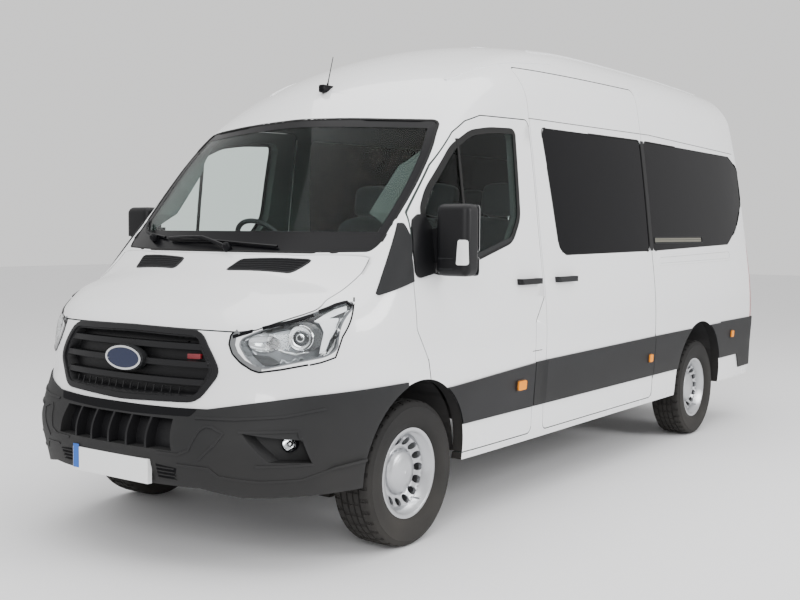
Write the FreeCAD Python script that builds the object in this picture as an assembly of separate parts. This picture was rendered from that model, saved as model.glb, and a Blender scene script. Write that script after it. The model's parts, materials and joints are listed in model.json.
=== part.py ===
"""A long high-roof minibus, built panel by panel: a hollow body split where the real panels meet,
hinged doors and bonnet, steered front wheels, a beam rear axle, and seats behind the glass.

The vehicle stands on its wheels, faces -Y, and its left side is +X. The origin is on the ground
under the middle of its length. Lengths are in millimetres.
"""

import FreeCAD
import Part

import math
import os

# Driving sizes of the whole vehicle
body_length = 5981.0
body_width = 2059.0
body_height = 2745.0
wheelbase = 3750.0
front_overhang = 1023.0
half_width = body_width / 2
front_axle_y = front_overhang - body_length / 2
rear_axle_y = front_axle_y + wheelbase
rear_end_y = body_length / 2

# Wheels and tyres
tyre_diameter = 712.0
tyre_width = 225.0
rim_diameter = 440.0
rim_width = 180.0
track = 1738.0
axle_height = tyre_diameter / 2

# Panels and panes
wall = 60.0
panel_gap = 6.0
glass_inset = 3.0
glass_thickness = 6.0
recess_depth = 48.0
bumper_stand = 9.0
corner_round = 75.0
cut_reach = 400.0
corner_share = 0.45

# The surface of the body. Heights are shares of the body's height, half widths are shares of half
# its width, and places along it are shares of the wheelbase, counted from the front axle.
HALF_WIDTH_SHARES = [(0.100, 0.952), (0.145, 0.966), (0.205, 0.983), (0.290, 0.998), (0.340, 1.000),
                     (0.400, 0.994), (0.460, 0.977), (0.525, 0.957), (0.660, 0.915), (0.770, 0.876),
                     (0.840, 0.847), (0.895, 0.820), (1.000, 0.760)]
CENTRE_HEIGHT_SHARES = [(-0.275, 0.350), (-0.250, 0.386), (-0.225, 0.414), (-0.160, 0.463),
                        (-0.100, 0.503), (-0.060, 0.555), (0.000, 0.648), (0.060, 0.743),
                        (0.100, 0.799), (0.150, 0.851), (0.215, 0.898), (0.290, 0.936),
                        (0.380, 0.968), (0.500, 0.991), (0.640, 0.999), (0.900, 1.000), (1.150, 0.994),
                        (1.300, 0.985), (1.400, 0.978)]
CROWN_SHARES = [(-0.275, 0.020), (-0.160, 0.028), (-0.060, 0.052), (0.060, 0.063), (0.150, 0.062),
                (0.290, 0.054), (0.500, 0.046), (1.400, 0.040)]
EDGE_RADIUS_SHARES = [(-0.275, 0.018), (-0.220, 0.024), (-0.150, 0.045), (-0.060, 0.034), (0.060, 0.026),
                      (0.150, 0.034), (0.290, 0.060), (0.450, 0.082), (1.000, 0.078), (1.400, 0.068)]
NOSE_FRONT_SHARES = [(0.100, -0.256), (0.160, -0.268), (0.215, -0.2728), (0.245, -0.2665),
                     (0.270, -0.255), (0.300, -0.249), (0.340, -0.2465), (0.388, -0.239),
                     (0.460, -0.2195), (0.700, -0.150)]
nose_start_share = 0.030
nose_width_power = 2.5
nose_reach_power = 3.4
tail_start_share = 1.100
tail_tuck_share = 0.012
tail_reach_share = 0.222


def along(share):
    """The place along the body at a share of the wheelbase behind the front axle."""
    return front_axle_y + share * wheelbase


def up(share):
    """The height at a share of the body's height."""
    return share * body_height


def smooth_table(table, t):
    """The value at t of a smooth curve through the rows of a table, straight past its ends."""
    last = len(table) - 1
    slopes = [(table[k + 1][1] - table[k][1]) / (table[k + 1][0] - table[k][0]) for k in range(last)]
    if t <= table[0][0]:
        return table[0][1] + slopes[0] * (t - table[0][0])
    if t >= table[last][0]:
        return table[last][1] + slopes[-1] * (t - table[last][0])
    k = max(i for i in range(last) if table[i][0] <= t)
    tangent = [0.0, 0.0]
    for side, at in enumerate((k, k + 1)):
        if at in (0, last):
            tangent[side] = slopes[0] if at == 0 else slopes[-1]
        else:
            before, after = slopes[at - 1], slopes[at]
            tangent[side] = 0.0 if before * after <= 0 else 2 * before * after / (before + after)
    step = table[k + 1][0] - table[k][0]
    u = (t - table[k][0]) / step
    return ((1 + 2 * u) * (1 - u) ** 2 * table[k][1] + u * (1 - u) ** 2 * step * tangent[0]
            + u * u * (3 - 2 * u) * table[k + 1][1] - u * u * (1 - u) * step * tangent[1])


def side_half_width(y, z):
    """Half the body's width at a place along it and a height, ahead of the nose's rounding."""
    width = half_width * smooth_table(HALF_WIDTH_SHARES, z / body_height)
    behind = (y - along(tail_start_share)) / (wheelbase * tail_reach_share)
    if behind > 0:
        width -= half_width * tail_tuck_share * behind ** 3
    return width


def wall_depth(x, y, z):
    """How far a point lies inside the sides and the rounded nose, roughly, in millimetres."""
    width = side_half_width(y, z)
    reach = along(nose_start_share) - y
    across = abs(x) / width
    if reach <= 0:
        return width - abs(x)
    length = wheelbase * (nose_start_share - smooth_table(NOSE_FRONT_SHARES, z / body_height))
    ahead = reach / length
    value = 1 - across ** nose_width_power - ahead ** nose_reach_power
    slope_x = nose_width_power / width * across ** (nose_width_power - 1)
    slope_y = nose_reach_power / length * ahead ** (nose_reach_power - 1)
    return value / max(math.hypot(slope_x, slope_y), 1 / width)


def top_depth(x, y, z):
    """How far a point lies under the bonnet, windscreen and roof, in millimetres."""
    share = (y - front_axle_y) / wheelbase
    step = 0.01
    height = smooth_table(CENTRE_HEIGHT_SHARES, share)
    slope = (smooth_table(CENTRE_HEIGHT_SHARES, share + step) - height) * body_height / (step * wheelbase)
    drop = smooth_table(CROWN_SHARES, share) * (x / half_width) ** 2 / 0.66
    return (up(height - drop) - z) / math.hypot(1, slope)


def body_depth(x, y, z):
    """How far a point lies inside the body's skin, with its long edges rounded."""
    wall, top = wall_depth(x, y, z), top_depth(x, y, z)
    radius = body_height * smooth_table(EDGE_RADIUS_SHARES, (y - front_axle_y) / wheelbase)
    if wall < radius and top < radius:
        return radius - math.hypot(radius - wall, radius - top)
    return min(wall, top)


# Stations: planes that fan out about the front axle, from the bumper's foot up to the vertical,
# and then planes across the body. Each starts on a low edge.
pivot_height = 400.0
pivot_radius = 330.0
FAN_ANGLES = [-9, -3, 4, 12, 20, 28, 36, 44, 51, 58, 65, 73, 81, 90]
STATION_SHARES = [0.035, 0.070, 0.105, 0.145, 0.190, 0.240, 0.300, 0.370, 0.460, 0.570, 0.690, 0.800,
                  0.870, 0.940, 1.010, 1.080, 1.160, 1.230, 1.290, 1.345]
LOW_EDGE_SHARES = [(0.0, 0.266), (0.035, 0.252), (0.070, 0.205), (0.105, 0.138), (0.145, 0.138), (1.4, 0.138)]
SIDE_STEPS = [0.0, 0.12, 0.24, 0.36, 0.48, 0.60, 0.70, 0.79, 0.86, 0.92, 0.96, 1.0]
TOP_STEPS = [0.97, 0.93, 0.88, 0.80, 0.68, 0.54, 0.37, 0.19, 0.0]


def skin_point(origin, direction, inset):
    """The point where a ray from inside the body comes within inset of its skin."""
    low, high = 0.0, body_height
    for _ in range(46):
        middle = (low + high) / 2
        at = origin + direction * middle
        if body_depth(at.x, at.y, at.z) > inset:
            low = middle
        else:
            high = middle
    return origin + direction * low


def section_points(foot, rise, inset):
    """Points of half a section's outline, from its foot on the left side up to the middle."""
    top = (skin_point(foot, rise, inset) - foot).Length
    side = half_width
    points = []
    for step in SIDE_STEPS:
        target = FreeCAD.Vector(side, 0, 0) + rise * (top * step)
        points.append(skin_point(foot, target.normalize(), inset))
    for step in TOP_STEPS:
        target = FreeCAD.Vector(side * step, 0, 0) + rise * top
        points.append(skin_point(foot, target.normalize(), inset))
    return points


def section_row(foot, rise, inset):
    """Points of a whole section's outline, from its foot on the left over to the right."""
    half = section_points(foot, rise, inset)
    return half + [FreeCAD.Vector(-p.x, p.y, p.z) for p in reversed(half[:-1])]


def skin_solid(inset, lower):
    """The body's form as one smooth solid, inset from the skin, that starts lower at its foot."""
    rows = []
    for angle in FAN_ANGLES:
        turn = math.radians(angle)
        rise = FreeCAD.Vector(0, -math.cos(turn), math.sin(turn))
        pivot = FreeCAD.Vector(0, front_axle_y, pivot_height)
        rows.append(section_row(pivot + rise * (pivot_radius - lower), rise, inset))
    for share in STATION_SHARES:
        foot = FreeCAD.Vector(0, along(share), up(smooth_table(LOW_EDGE_SHARES, share)) - lower)
        rows.append(section_row(foot, FreeCAD.Vector(0, 0, 1), inset))
    surface = Part.BSplineSurface()
    surface.interpolate(rows)
    skin = surface.toShape()
    faces = [skin]
    first = [e for e in skin.Edges if runs_between(e, rows[0][0], rows[-1][0])]
    second = [e for e in skin.Edges if runs_between(e, rows[0][-1], rows[-1][-1])]
    faces.append(Part.makeRuledSurface(first[0], second[0]))
    for row in (rows[0], rows[-1]):
        arch = [e for e in skin.Edges if runs_between(e, row[0], row[-1])]
        chord = Part.LineSegment(row[-1], row[0]).toShape()
        faces.append(Part.Face(Part.Wire([arch[0], chord])))
    shell = Part.makeShell(faces)
    shell.sewShape()
    solid = Part.makeSolid(shell)
    if solid.Volume < 0:
        solid.reverse()
    return solid


def runs_between(edge, start, end):
    """Whether an edge joins two points."""
    ends = [v.Point for v in edge.Vertexes]
    return len(ends) == 2 and (min((p - start).Length for p in ends) < 1
                               and min((p - end).Length for p in ends) < 1)


# Outlines seen from the side, as shares of the wheelbase behind the front axle and of the height
FRONT_DOOR_SHARES = [(-0.009, 0.510), (-0.009, 0.386), (0.016, 0.330), (0.023, 0.291), (0.023, 0.145),
                     (0.297, 0.145), (0.300, 0.375), (0.329, 0.423), (0.329, 0.786), (0.192, 0.779),
                     (0.154, 0.764), (0.122, 0.740), (0.066, 0.675), (0.008, 0.587)]
FRONT_WINDOW_SHARES = [(0.027, 0.488), (0.024, 0.590), (0.046, 0.632), (0.110, 0.713), (0.160, 0.745),
                       (0.213, 0.756), (0.284, 0.761), (0.275, 0.583), (0.248, 0.537), (0.141, 0.502),
                       (0.053, 0.479)]
SLIDING_DOOR_SHARES = [(0.335, 0.145), (0.753, 0.145), (0.753, 0.911), (0.335, 0.900)]
SLIDING_WINDOW_SHARES = [(0.367, 0.776), (0.747, 0.785), (0.747, 0.510), (0.413, 0.506), (0.392, 0.521)]
REAR_WINDOW_SHARES = [(0.761, 0.785), (1.220, 0.783), (1.275, 0.750), (1.275, 0.641), (1.227, 0.568),
                      (1.165, 0.523), (0.761, 0.510)]
TAIL_SHARES = [(-0.400, 0.050), (1.316, 0.050), (1.316, 0.290), (1.305, 0.500), (1.286, 0.760),
               (1.250, 1.050), (-0.400, 1.050)]
STRIP_TOP_SHARES = [(-0.400, 0.267), (0.073, 0.274), (0.331, 0.291), (0.760, 0.298), (1.400, 0.304)]
strip_bottom_share = 0.199
rail_line_share = 0.790
waist_share = 0.512
sill_top_share = 0.141
sill_bottom_share = 0.130
bumper_rear_share = -0.030
door_corner = 40.0
window_corner = 55.0

# Outlines seen from the front, as shares of half the width and of the height
WINDSCREEN_SHARES = [(0.000, 0.517), (0.583, 0.517), (0.821, 0.519), (0.847, 0.532), (0.858, 0.638),
                     (0.843, 0.703), (0.797, 0.758), (0.767, 0.764), (0.600, 0.766), (0.320, 0.772),
                     (0.000, 0.776)]
BONNET_SHARES = [(0.000, 0.396), (0.437, 0.394), (0.583, 0.393), (0.651, 0.397), (0.785, 0.421),
                 (0.821, 0.429), (0.816, 0.442), (0.826, 0.461), (0.841, 0.485), (0.830, 0.530),
                 (0.000, 0.530)]
BONNET_PLAN_SHARES = [(0.000, -0.400), (1.100, -0.400), (1.100, -0.050), (0.814, -0.0535), (0.486, -0.0785),
                      (0.211, -0.0895), (0.000, -0.0920)]
cowl_half_share = 0.790
cowl_front_share = -0.100
LAMP_SHARES = [(0.583, 0.379), (0.651, 0.393), (0.785, 0.417), (0.898, 0.442), (0.909, 0.426),
               (0.914, 0.355), (0.688, 0.332), (0.631, 0.352)]
GRILLE_SHARES = [(0.000, 0.392), (0.416, 0.389), (0.503, 0.330), (0.434, 0.281), (0.000, 0.279)]
BUMPER_SHARES = [(0.000, 0.267), (0.243, 0.267), (0.493, 0.269), (0.691, 0.282), (0.842, 0.291),
                 (0.991, 0.297), (1.200, 0.297), (1.200, 0.121), (0.777, 0.121), (0.486, 0.142),
                 (0.000, 0.142)]
AIR_SLOT_SHARES = [(0.000, 0.251), (0.350, 0.251), (0.374, 0.202), (0.000, 0.202)]
FOG_RECESS_SHARES = [(0.667, 0.235), (0.857, 0.223), (0.873, 0.185), (0.757, 0.189)]
fender_split_share = 0.875

# Wheel arches
arch_radius_front = 400.0
arch_radius_rear = 450.0
arch_offset_front = 15.0
arch_offset_rear = -45.0
arch_height = 415.0
arch_step = 12.0
housing_wall = 6.0
housing_inner_front = 560.0
housing_inner_rear = 700.0


def at_side(share_pair, x):
    """A point of a side outline, at a place across the body."""
    return FreeCAD.Vector(x, along(share_pair[0]), up(share_pair[1]))


def rounded_face(points, radius):
    """A flat face through the points, with its corners rounded as far as its sides allow."""
    edges = []
    spans = []
    count = len(points)
    for k, corner in enumerate(points):
        to_before = points[k - 1] - corner
        to_after = points[(k + 1) % count] - corner
        half_angle = to_before.getAngle(to_after) / 2
        reach = min(radius / math.tan(half_angle), to_before.Length * corner_share,
                    to_after.Length * corner_share)
        start = corner + FreeCAD.Vector(to_before).normalize() * reach
        end = corner + FreeCAD.Vector(to_after).normalize() * reach
        inward = (start + end) * 0.5 - corner
        if reach < 1e-3 or inward.Length < 1e-3:
            spans.append((corner, corner))
            continue
        arc_radius = reach * math.tan(half_angle)
        centre = corner + FreeCAD.Vector(inward).normalize() * (arc_radius / math.sin(half_angle))
        middle = centre - FreeCAD.Vector(inward).normalize() * arc_radius
        edges.append(Part.Arc(start, middle, end).toShape())
        spans.append((start, end))
    for k in range(count):
        start, end = spans[k - 1][1], spans[k][0]
        if (end - start).Length > 1e-3:
            edges.append(Part.LineSegment(start, end).toShape())
    return Part.Face(Part.Wire(Part.__sortEdges__(edges)))


def side_prism(shares, radius, grow, inner_x, outer_x):
    """The space behind a side outline, between two places across the body, grown by a margin."""
    face = rounded_face([at_side(pair, inner_x) for pair in shares], radius)
    if grow:
        face = face.makeOffset2D(grow)
    return face.extrude(FreeCAD.Vector(outer_x - inner_x, 0, 0))


def front_prism(shares, radius, grow, first_y, last_y, mirrored):
    """The space behind a front outline, whole or doubled about the middle, grown by a margin."""
    points = [FreeCAD.Vector(x * half_width, first_y, up(z)) for x, z in shares]
    if mirrored:
        points += [FreeCAD.Vector(-p.x, p.y, p.z) for p in reversed(points) if p.x > 0]
    face = rounded_face(points, radius)
    if grow:
        face = face.makeOffset2D(grow)
    return face.extrude(FreeCAD.Vector(0, last_y - first_y, 0))


def plan_prism(shares, radius, grow):
    """The space under a plan outline doubled about the middle, grown by a margin."""
    points = [FreeCAD.Vector(x * half_width, along(y), 0) for x, y in shares]
    points += [FreeCAD.Vector(-p.x, p.y, p.z) for p in reversed(points) if p.x > 0]
    face = rounded_face(points, radius)
    if grow:
        face = face.makeOffset2D(grow)
    return face.extrude(FreeCAD.Vector(0, 0, body_height))


def box(x0, x1, y0, y1, z0, z1):
    """A box between two corners."""
    return Part.makeBox(x1 - x0, y1 - y0, z1 - z0, FreeCAD.Vector(x0, y0, z0))


def flip(shape):
    """The same shape on the other side of the body."""
    return shape.mirror(FreeCAD.Vector(), FreeCAD.Vector(1, 0, 0))


def both(shape):
    """A shape and its mirror image."""
    return [shape, flip(shape)]


def solids(shape):
    """The separate solids of a shape, with crumbs left out."""
    return [s for s in shape.Solids if s.Volume > crumb_volume]


def save(name, *shapes):
    """Write one part to its file."""
    pieces = [piece for shape in shapes for piece in solids(shape)]
    whole = pieces[0] if len(pieces) == 1 else Part.makeCompound(pieces)
    whole.exportStep(os.path.join("parts", name + ".step"))


crumb_volume = 100.0


def body_solid(inset, lower):
    """The body's form with its leaning tail."""
    skin = skin_solid(inset, lower)
    points = [FreeCAD.Vector(-body_width, along(y) - inset, up(z)) for y, z in TAIL_SHARES]
    tail = Part.Face(Part.makePolygon(points + [points[0]])).extrude(FreeCAD.Vector(2 * body_width, 0, 0))
    return skin.common(tail)


def rounded_tail(body, inset):
    """The body's form with the corners about its tail rounded."""
    reach = along(TAIL_SHARES[-2][0]) - inset - 1
    corners = []
    for edge in body.Edges:
        ends = [v.Point for v in edge.Vertexes]
        if min(p.y for p in ends) > reach and edge.Curve.TypeId != "Part::GeomLine":
            corners.append(edge)
    return body.makeFillet(corner_round, corners)



def arch_cut(side_y, radius, inner_x):
    """The space a wheel arch leaves open on the left side."""
    start = FreeCAD.Vector(inner_x, side_y, arch_height)
    round_part = Part.makeCylinder(radius, half_width + cut_reach - inner_x, start, FreeCAD.Vector(1, 0, 0))
    low_part = box(inner_x, half_width + cut_reach, side_y - radius, side_y + radius, 0, arch_height)
    return round_part.fuse(low_part)


def front_arch_y():
    """The middle of the front arches."""
    return front_axle_y + arch_offset_front


def rear_arch_y():
    """The middle of the rear arches."""
    return rear_axle_y + arch_offset_rear


# Heights and places shared by panels
door_sweep_x = 500.0
nose_back_share = 0.045
post_share = 0.329
lamp_lens = 4.0
ring_width = 22.0
thin_ring = 7.0
REAR_DOOR_SHARES = [(0.003, 0.264), (0.868, 0.264), (0.868, 0.560), (0.810, 0.800), (0.740, 0.880),
                    (0.003, 0.880)]
REAR_GLASS_SHARES = [(0.110, 0.530), (0.760, 0.530), (0.720, 0.760), (0.110, 0.760)]
REAR_BUMPER_SHARES = [(1.100, 0.304), (1.100, 0.215), (1.205, 0.218), (1.228, 0.157), (1.500, 0.157),
                      (1.500, 0.304)]
TAIL_LAMP_SHARES = [(1.290, 0.304), (1.500, 0.304), (1.500, 0.525), (1.285, 0.525)]
tail_lamp_inner_share = 0.700
rear_hinge_low_share = (1.305, 0.500)
rear_hinge_high_share = (1.286, 0.760)
far = body_length
big = half_width + cut_reach


def rear_prism(shares, radius, grow):
    """The space ahead of a rear outline on the left side, as far as the rear wall reaches."""
    face = rounded_face([FreeCAD.Vector(x * half_width, rear_end_y + wall, up(z)) for x, z in shares], radius)
    if grow:
        face = face.makeOffset2D(grow)
    prism = face.extrude(FreeCAD.Vector(0, -cut_reach - wall, 0))
    inset = wall + 1
    points = [FreeCAD.Vector(-body_width, along(y) - inset, up(z)) for y, z in TAIL_SHARES]
    ahead = Part.Face(Part.makePolygon(points + [points[0]])).extrude(FreeCAD.Vector(2 * body_width, 0, 0))
    return prism.cut(ahead)


def make_body(skins):
    """The fixed panels, the doors, the bonnet, the lamps, the grille, the bumpers and the glass."""
    outer, inner, recess, stand = skins["outer"], skins["inner"], skins["recess"], skins["stand"]
    shell = outer.cut(inner)
    low = box(-big, big, -far, far, -far, up(sill_bottom_share))
    arches = [arch_cut(front_arch_y(), arch_radius_front, housing_inner_front),
              arch_cut(rear_arch_y(), arch_radius_rear, housing_inner_rear)]
    arches += [flip(a) for a in arches]
    shell = shell.cut([low] + arches)

    front_door = side_prism(FRONT_DOOR_SHARES, door_corner, 0, door_sweep_x, big)
    front_hole = side_prism(FRONT_DOOR_SHARES, door_corner, panel_gap, door_sweep_x, big)
    sliding = side_prism(SLIDING_DOOR_SHARES, door_corner, 0, door_sweep_x, big)
    sliding_hole = side_prism(SLIDING_DOOR_SHARES, door_corner, panel_gap, door_sweep_x, big)
    window = side_prism(FRONT_WINDOW_SHARES, window_corner, 0, door_sweep_x, big)
    sliding_window = side_prism(SLIDING_WINDOW_SHARES, window_corner, 0, door_sweep_x, big)
    rear_window = side_prism(REAR_WINDOW_SHARES, window_corner, 0, door_sweep_x, big)
    screen = front_prism(WINDSCREEN_SHARES, window_corner, 0, along(-0.2), along(0.16), True)
    bonnet = front_prism(BONNET_SHARES, door_corner, 0, along(-0.4), along(0.0), True)
    bonnet = bonnet.common(plan_prism(BONNET_PLAN_SHARES, door_corner, 0))
    bonnet_hole = front_prism(BONNET_SHARES, door_corner, panel_gap, along(-0.4), along(0.0), True)
    bonnet_hole = bonnet_hole.common(plan_prism(BONNET_PLAN_SHARES, door_corner, panel_gap))
    lamp = front_prism(LAMP_SHARES, window_corner, 0, along(-0.4), along(-0.05), False)
    lamp_inside = front_prism(LAMP_SHARES, window_corner, -thin_ring, along(-0.4), along(-0.05), False)
    grille = front_prism(GRILLE_SHARES, window_corner, 0, along(-0.4), along(-0.15), True)
    grille_inside = front_prism(GRILLE_SHARES, window_corner, -ring_width, along(-0.4), along(-0.15), True)
    bumper = front_prism(BUMPER_SHARES, 0.1, 0, along(-0.4), along(bumper_rear_share), True)
    slot = front_prism(AIR_SLOT_SHARES, 0.1, 0, along(-0.4), along(-0.15), True)
    fog = front_prism(FOG_RECESS_SHARES, 0.1, 0, along(-0.4), along(-0.1), False)
    rear_door = rear_prism(REAR_DOOR_SHARES, door_corner, 0)
    rear_hole = rear_prism(REAR_DOOR_SHARES, door_corner, panel_gap)
    rear_glass = rear_prism(REAR_GLASS_SHARES, window_corner, 0)
    rear_bumper = side_prism(REAR_BUMPER_SHARES, 0.1, 0, -big, big)
    rear_bumper = rear_bumper.cut([rear_hole, flip(rear_hole)])
    tail_lamp = side_prism(TAIL_LAMP_SHARES, 0.1, 0, tail_lamp_inner_share * half_width, big).cut(rear_hole)

    left_door = shell.common(front_door).cut(window)
    save("front_door_left", left_door)
    save("front_door_right", flip(left_door))
    left_rear = shell.common(rear_door).cut(rear_glass)
    save("rear_door_left", left_rear)
    save("rear_door_right", flip(left_rear))
    save("sliding_door", shell.common(sliding).cut(sliding_window))
    body = shell.cut([front_hole, flip(front_hole), rear_hole, flip(rear_hole), rear_bumper])
    save("bonnet", body.common(bonnet))
    body = body.cut([tail_lamp, flip(tail_lamp), bonnet_hole])
    save("tail_lamps", *both(shell.common(tail_lamp)))

    front_space = box(-big, big, -far, along(nose_back_share), 0, up(waist_share))
    nose = body.common(front_space)
    rest = body.cut(front_space)
    chin = box(-big, big, -far, along(bumper_rear_share), 0, up(plate_z_share))
    nose = nose.cut([lamp, flip(lamp), grille, bumper, chin])
    split = fender_split_share * half_width
    middle = box(-split, split, -far, far, 0, up(BONNET_SHARES[0][1]))
    save("front_panel", nose.common(middle))
    cowl_x = cowl_half_share * half_width
    cowl_space = box(-cowl_x, cowl_x, along(cowl_front_share), far, up(BONNET_SHARES[0][1]), far)
    save("fenders", nose.cut([middle, cowl_space]))
    cowl = nose.common(cowl_space)
    lamp_shell = shell.common(lamp)
    save("headlamps", *both(lamp_shell.cut(lamp_inside.cut(recess))))
    save("headlamp_lenses", *both(outer.cut(skins["glass"]).common(lamp_inside)))

    rail = up(rail_line_share)
    above = box(-big, big, -far, far, rail, far)
    roof = rest.common(above).cut(sliding_hole)
    save("roof_panel", roof)
    low_rest = rest.cut(above)
    cab_top = box(-big, big, -far, along(post_share), up(waist_share), rail)
    save("windscreen_frame", low_rest.common(cab_top).cut(screen).fuse(cowl))
    sides = low_rest.cut(cab_top)
    left_side = sides.common(box(0, big, -far, far, 0, far))
    save("side_panel_right", flip(left_side.cut([sliding_window, rear_window])))
    save("side_panel_left", left_side.cut([sliding_hole, rear_window]))

    pane = skins["glass"].cut(skins["glass_inner"])
    save("windscreen", pane.common(screen))
    left_pane = pane.common(window)
    save("front_door_window_left", left_pane)
    save("front_door_window_right", flip(left_pane))
    panes = [pane.common(sliding_window), pane.common(rear_window)]
    save("privacy_windows", *panes, *[flip(p) for p in panes])
    rear_pane = pane.common(rear_glass)
    save("rear_door_window_left", rear_pane)
    save("rear_door_window_right", flip(rear_pane))

    thick = stand.cut(inner).cut([low] + arches)
    front = thick.common(bumper).cut([slot, fog, flip(fog)])
    filled = recess.common(fog)
    behind = filled.copy()
    behind.translate(FreeCAD.Vector(0, wall - recess_depth, 0))
    fog_back = filled.cut(behind)
    front_plate, rear_plate = make_plates()
    save("plates", front_plate.cut(stand), rear_plate)
    save("front_bumper", front, *both(fog_back))
    save("rear_bumper", thick.common(rear_bumper))
    grille_shell = shell.common(grille)
    ring = grille_shell.cut(grille_inside.cut(recess))
    bars = []
    for share in BAR_SHARES:
        middle = up(share)
        bars.append(box(-big, big, -far, 0, middle - bar_height / 2, middle + bar_height / 2))
    filling = grille_shell.common(grille_inside).common(Part.makeCompound(bars)).common(recess_ring(outer, recess))
    slot_shell = thick.common(slot)
    bars = [box(x - slot_bar / 2, x + slot_bar / 2, -far, 0, 0, far) for x in slot_bar_places()]
    slats = slot_shell.common(Part.makeCompound(bars))
    backing = slot_shell.common(recess)
    save("grille", ring, filling, slats.cut(recess), backing)

    band = stand.cut(outer).cut(arches)
    strip = strip_space()
    door_strip = band.common(strip).common(front_door)
    sail = band.common(side_prism(SAIL_SHARES, door_corner, 0, door_sweep_x, big)).common(front_door)
    head, arm, handle = make_fittings()
    mirror = sail.fuse([arm.cut(outer), head])
    trim = [door_strip, mirror, handle.cut(outer)]
    save("door_trim_left", *trim)
    save("door_trim_right", *[flip(piece) for piece in trim])
    ahead = box(-big, big, -far, along(SLIDING_DOOR_SHARES[0][0]), 0, far)
    strips = band.common(strip).cut([ahead, rear_bumper, rear_hole])
    pillar = band.common(side_prism(PILLAR_TRIM_SHARES, thin_ring, 0, door_sweep_x, big)).cut(front_hole)
    slide = handle.copy()
    slide.translate(FreeCAD.Vector(0, slide_handle_step, 0))
    save("side_trim", *both(strips), *both(pillar), slide.cut(outer))
    return shell


BAR_SHARES = [0.366, 0.338, 0.309]
bar_height = 26.0
slot_bar = 12.0
slot_bar_count = 5


def recess_ring(outer, recess):
    """The layer of the body between its skin and the recess depth."""
    return outer.cut(recess)


def slot_bar_places():
    """Places across the body of the upright bars in the air slot."""
    reach = AIR_SLOT_SHARES[1][0] * half_width
    step = 2 * reach / (slot_bar_count + 1)
    return [-reach + step * (k + 1) for k in range(slot_bar_count)]


def strip_space():
    """The space of the dark side strip on the left side, ahead of the rear bumper."""
    top = STRIP_TOP_SHARES
    shares = top + [(top[-1][0], strip_bottom_share), (top[0][0], strip_bottom_share)]
    return side_prism(shares, 0.1, 0, door_sweep_x, big)



# Running gear
king_pin_inset = 70.0
king_pin_radius = 20.0
king_pin_reach = 135.0
spindle_radius = 24.0
bore_clearance = 0.3
hub_face = 24.0
hub_radius = 118.0
hub_length = 44.0
disc_offset = 22.0
disc_thickness = 9.0
rim_wall = 8.0
rim_lip = 14.0
bead_radius = 203.0
well_radius = 180.0
tyre_hole_count = 15
dish_share = 0.62
tyre_hole_radius = 20.0
tyre_hole_circle = 150.0
brake_radius = 130.0
brake_thickness = 22.0
shoulder_radius = 24.0
sidewall_bulge = 4.0
beam_radius = 48.0
diff_radius = 135.0
drum_radius = 140.0
drum_inner = 690.0
drum_outer = 752.0
prop_radius = 36.0
spring_x = 545.0
spring_width = 62.0
spring_thickness = 28.0
spring_reach = 640.0
spring_rise = 110.0
running_gap = 6.0
arm_width = 60.0
arm_height = 30.0
subframe_half_width = 400.0
subframe_depth = 180.0
strut_x = 655.0
strut_radius = 34.0

# Floor, engine and interior
floor_top_share = 0.256
floor_thickness = 55.0
floor_front_share = 0.1185
door_floor_half_width = 938.0
rail_x = 500.0
rail_width = 70.0
rail_height = 85.0
engine_half_width = 290.0
engine_front_share = -0.150
engine_back_share = 0.070
engine_low_share = 0.150
engine_high_share = 0.350
gearbox_half_width = 150.0
gearbox_back_share = 0.230
door_stop_share = 0.200
dash_half_width = 850.0
DASH_SHARES = [(-0.050, 0.470), (-0.045, 0.488), (0.030, 0.505), (0.080, 0.512), (0.112, 0.498),
               (0.1265, 0.440), (0.1265, 0.365), (0.1185, 0.365), (0.100, 0.405), (0.020, 0.420),
               (-0.030, 0.445)]
driver_x = -430.0
mate_x = 330.0
cab_seat_share = 0.235
seat_width = 500.0
bench_width = 900.0
rear_seat_width = 430.0
cushion_depth = 480.0
cushion_height = 130.0
cushion_rise = 250.0
back_height = 590.0
back_depth = 110.0
back_lean = 14.0
head_width = 250.0
head_height = 190.0
head_depth = 95.0
head_gap = 35.0
post_radius = 7.0
post_spread = 70.0
pedestal_share = 0.12
seat_round = 38.0
ROW_SHARES = [0.455, 0.650, 0.845, 1.040]
ROW_PLACES = [-640.0, -190.0, 620.0]
wheel_y_share = 0.128
wheel_z_share = 0.521
steer_radius = 188.0
steer_rim = 15.0
steer_lean = 52.0
column_radius = 32.0
column_length = 260.0
exhaust_x = -230.0
exhaust_radius = 30.0
silencer_radius = 95.0
tank_inner = 130.0
tank_outer = 455.0

# Mirrors, handles and plates
mirror_inner = 1022.0
mirror_outer = 1212.0
mirror_front_share = 0.028
mirror_back_share = 0.060
mirror_low_share = 0.477
mirror_high_share = 0.604
mirror_round = 38.0
arm_low_share = 0.500
arm_high_share = 0.560
SAIL_SHARES = [(-0.006, 0.472), (-0.006, 0.540), (0.008, 0.576), (0.022, 0.590), (0.040, 0.560), (0.050, 0.484)]
PILLAR_TRIM_SHARES = [(-0.078, 0.447), (-0.004, 0.471), (-0.004, 0.575)]
slide_handle_step = 440.0
nose_plate_share = -0.2725
handle_length = 230.0
handle_height = 32.0
handle_depth = 22.0
handle_stand = 34.0
handle_z_share = 0.456
plate_width = 520.0
plate_height = 111.0
plate_thickness = 6.0
plate_z_share = 0.1635
rear_plate_z_share = 0.205


def turned(profile, radius_axis_x, z, y):
    """A solid of revolution about an axle: points are (place across, radius)."""
    points = [FreeCAD.Vector(x, y, z + r) for x, r in profile]
    face = Part.Face(Part.makePolygon(points + [points[0]]))
    return face.revolve(FreeCAD.Vector(radius_axis_x, y, z), FreeCAD.Vector(1, 0, 0), 360)


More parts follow.
